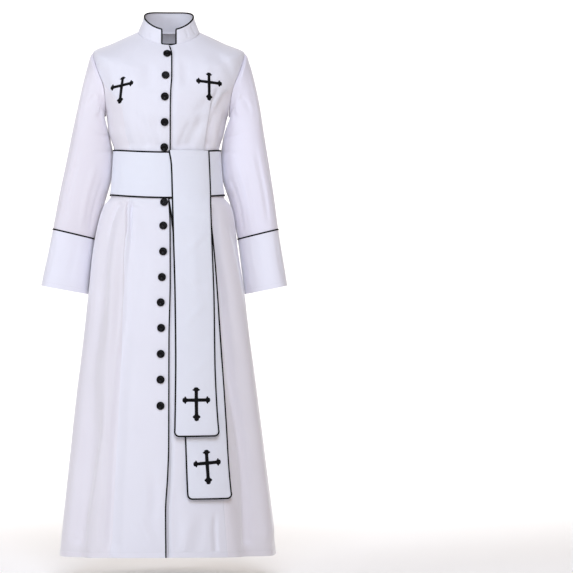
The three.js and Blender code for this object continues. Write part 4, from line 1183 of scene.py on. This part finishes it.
for source, output, target, entry in (
        (enter, "Geometry", curve, "Mesh"), (curve, "Curve", places, "Curve"),
        (enter, "Spacing", places, "Length"), (places, "Points", stitches, "Points"),
        (places, "Tangent", aim, "Vector"), (aim, "Rotation", stitches, "Rotation"),
        (enter, "Length", stitch, "Depth"), (enter, "Thread radius", stitch, "Radius"),
        (stitch, "Mesh", stitches, "Instance"), (stitches, "Instances", real, "Geometry"),
        (real, "Geometry", finish, "Geometry"), (finish, "Geometry", leave, "Geometry")):
    stitcher.links.new(source.outputs[output], target.inputs[entry])


def make_stitches(name, path, closed=False):
    """A row of stitches lying on the cloth along a path in mm."""
    line = bpy.data.meshes.new(f"{name}_line")
    edges = [(k, k + 1) for k in range(len(path) - 1)] + ([(len(path) - 1, 0)] if closed else [])
    line.from_pydata((path / 1000).tolist(), edges, [])
    holder = bpy.data.objects.new(f"{name}_line", line)
    bpy.context.scene.collection.objects.link(holder)
    rows = holder.modifiers.new("stitches", "NODES")
    rows.node_group = stitcher
    named = {item.name: item.identifier for item in stitcher.interface.items_tree
             if item.in_out == "INPUT"}
    rows[named["Spacing"]] = (STITCH + STITCH_GAP) / 1000
    rows[named["Length"]] = STITCH / 1000
    rows[named["Thread radius"]] = THREAD_RADIUS / 1000
    bpy.context.view_layer.update()
    made = holder.evaluated_get(bpy.context.evaluated_depsgraph_get())
    mesh = bpy.data.meshes.new_from_object(made)
    holder.modifiers.remove(rows)
    bpy.data.objects.remove(holder)
    piece = bpy.data.objects.new(name, mesh)
    bpy.context.scene.collection.objects.link(piece)
    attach(piece, "root")
    return piece


def on_body(angle, drop, out):
    skin = body_surface(angle, drop)
    return skin + body_normal(angle, drop) * (body_creases(skin, drop) + out)[..., None]


hem_drop = HEM - HEM_STITCH
hem_start = float(front_angle(closing_edge(hem_drop) + 0.5, hem_drop))
hem_angle = np.linspace(hem_start, hem_start - 359.4, 400)
make_stitches("hem_stitches", on_body(hem_angle, np.full(400, hem_drop), -0.4))

drop = np.arange(NECK + 8, HEM - 6, 8.0)
angle = front_angle(closing_edge(drop) - EDGE_STITCH, drop)
make_stitches("front_edge_stitches", on_body(angle, drop, -0.05))

for hand, side in HANDS:
    phi = np.arange(0, 360, 4.0)
    off = sleeve_normal(side, phi, CUFF_STITCH_RING)
    make_stitches(f"cuff_stitches_{hand}",
                  sleeve_surface(side, phi, CUFF_STITCH_RING) - off * 0.3, closed=True)


# ---- Studio --------------------------------------------------------------------------------------
# A pale seamless floor and backdrop. Three soft lights stand in front, from straight ahead, from
# the left and from above, and one behind whitens the backdrop.

FLOOR = -1.445
SWEEP_FRONT, SWEEP_BACK, SWEEP_BEND, SWEEP_TOP, SWEEP_SIDE = -12.0, 7.6, 1.6, 9.0, 14.0
studio_white = new_material("studio white", Base_Color=(0.97, 0.97, 0.97, 1), Roughness=0.9,
                            Specular_IOR_Level=0.1)
profile = [(SWEEP_FRONT, 0.0), (SWEEP_BACK, 0.0)]
profile += [(SWEEP_BACK + SWEEP_BEND * math.sin(t), SWEEP_BEND - SWEEP_BEND * math.cos(t))
            for t in np.linspace(0.1, math.pi / 2, 14)]
profile += [(SWEEP_BACK + SWEEP_BEND, SWEEP_TOP)]
sweep = bpy.data.meshes.new("sweep")
sweep.from_pydata([(x, y, z + FLOOR) for y, z in profile for x in (-SWEEP_SIDE, SWEEP_SIDE)], [],
                  [(2 * k, 2 * k + 1, 2 * k + 3, 2 * k + 2) for k in range(len(profile) - 1)])
sweep.materials.append(studio_white)
for face in sweep.polygons:
    face.use_smooth = True
backdrop = bpy.data.objects.new("floor and backdrop", sweep)
bpy.context.scene.collection.objects.link(backdrop)

# label, place, size, watts, colour and what it points at
for label, place, size, power, colour, aim in (
        ("key", (0.3, -4.8, 1.5), 1.3, 56, (1.0, 0.94, 0.91), (0, 0, -0.5)),
        ("side light", (-4.6, -3.0, 0.4), 1.5, 74, (0.79, 0.88, 1.0), (0, 0, -0.5)),
        ("top light", (0.0, -3.6, 2.8), 2.0, 106, (0.68, 0.81, 1.0), (0, 0, -0.5)),
        ("backdrop light", (0.0, 4.6, 3.4), 4.0, 380, (1.0, 1.0, 1.0), (0.3, 6.5, -1.4))):
    light = bpy.data.lights.new(label, "AREA")
    light.size = size
    light.energy = power
    light.color = colour
    lamp = bpy.data.objects.new(label, light)
    lamp.location = place
    way = np.array(aim, float) - np.array(place, float)
    lamp.rotation_euler = (math.acos(-way[2] / np.linalg.norm(way)), 0,
                           math.atan2(way[1], way[0]) - math.pi / 2)
    bpy.context.scene.collection.objects.link(lamp)

room = bpy.data.worlds.new("room")
room.use_nodes = True
set_inputs(room.node_tree.nodes["Background"], Color=(1.0, 0.78, 0.62, 1), Strength=0.24)
bpy.context.scene.world = room
bpy.context.scene.view_settings.view_transform = "Standard"

# The camera looks straight ahead from the height of the garment's middle, from six metres away.
lens = bpy.data.cameras.new("camera")
lens.lens = 150
lens.sensor_width = 36
lens.clip_end = 60
camera = bpy.data.objects.new("camera", lens)
camera.location = (0, -6.325, -0.6665)
camera.rotation_euler = (math.pi / 2, 0, math.radians(-2.82))
bpy.context.scene.collection.objects.link(camera)
bpy.context.scene.camera = camera
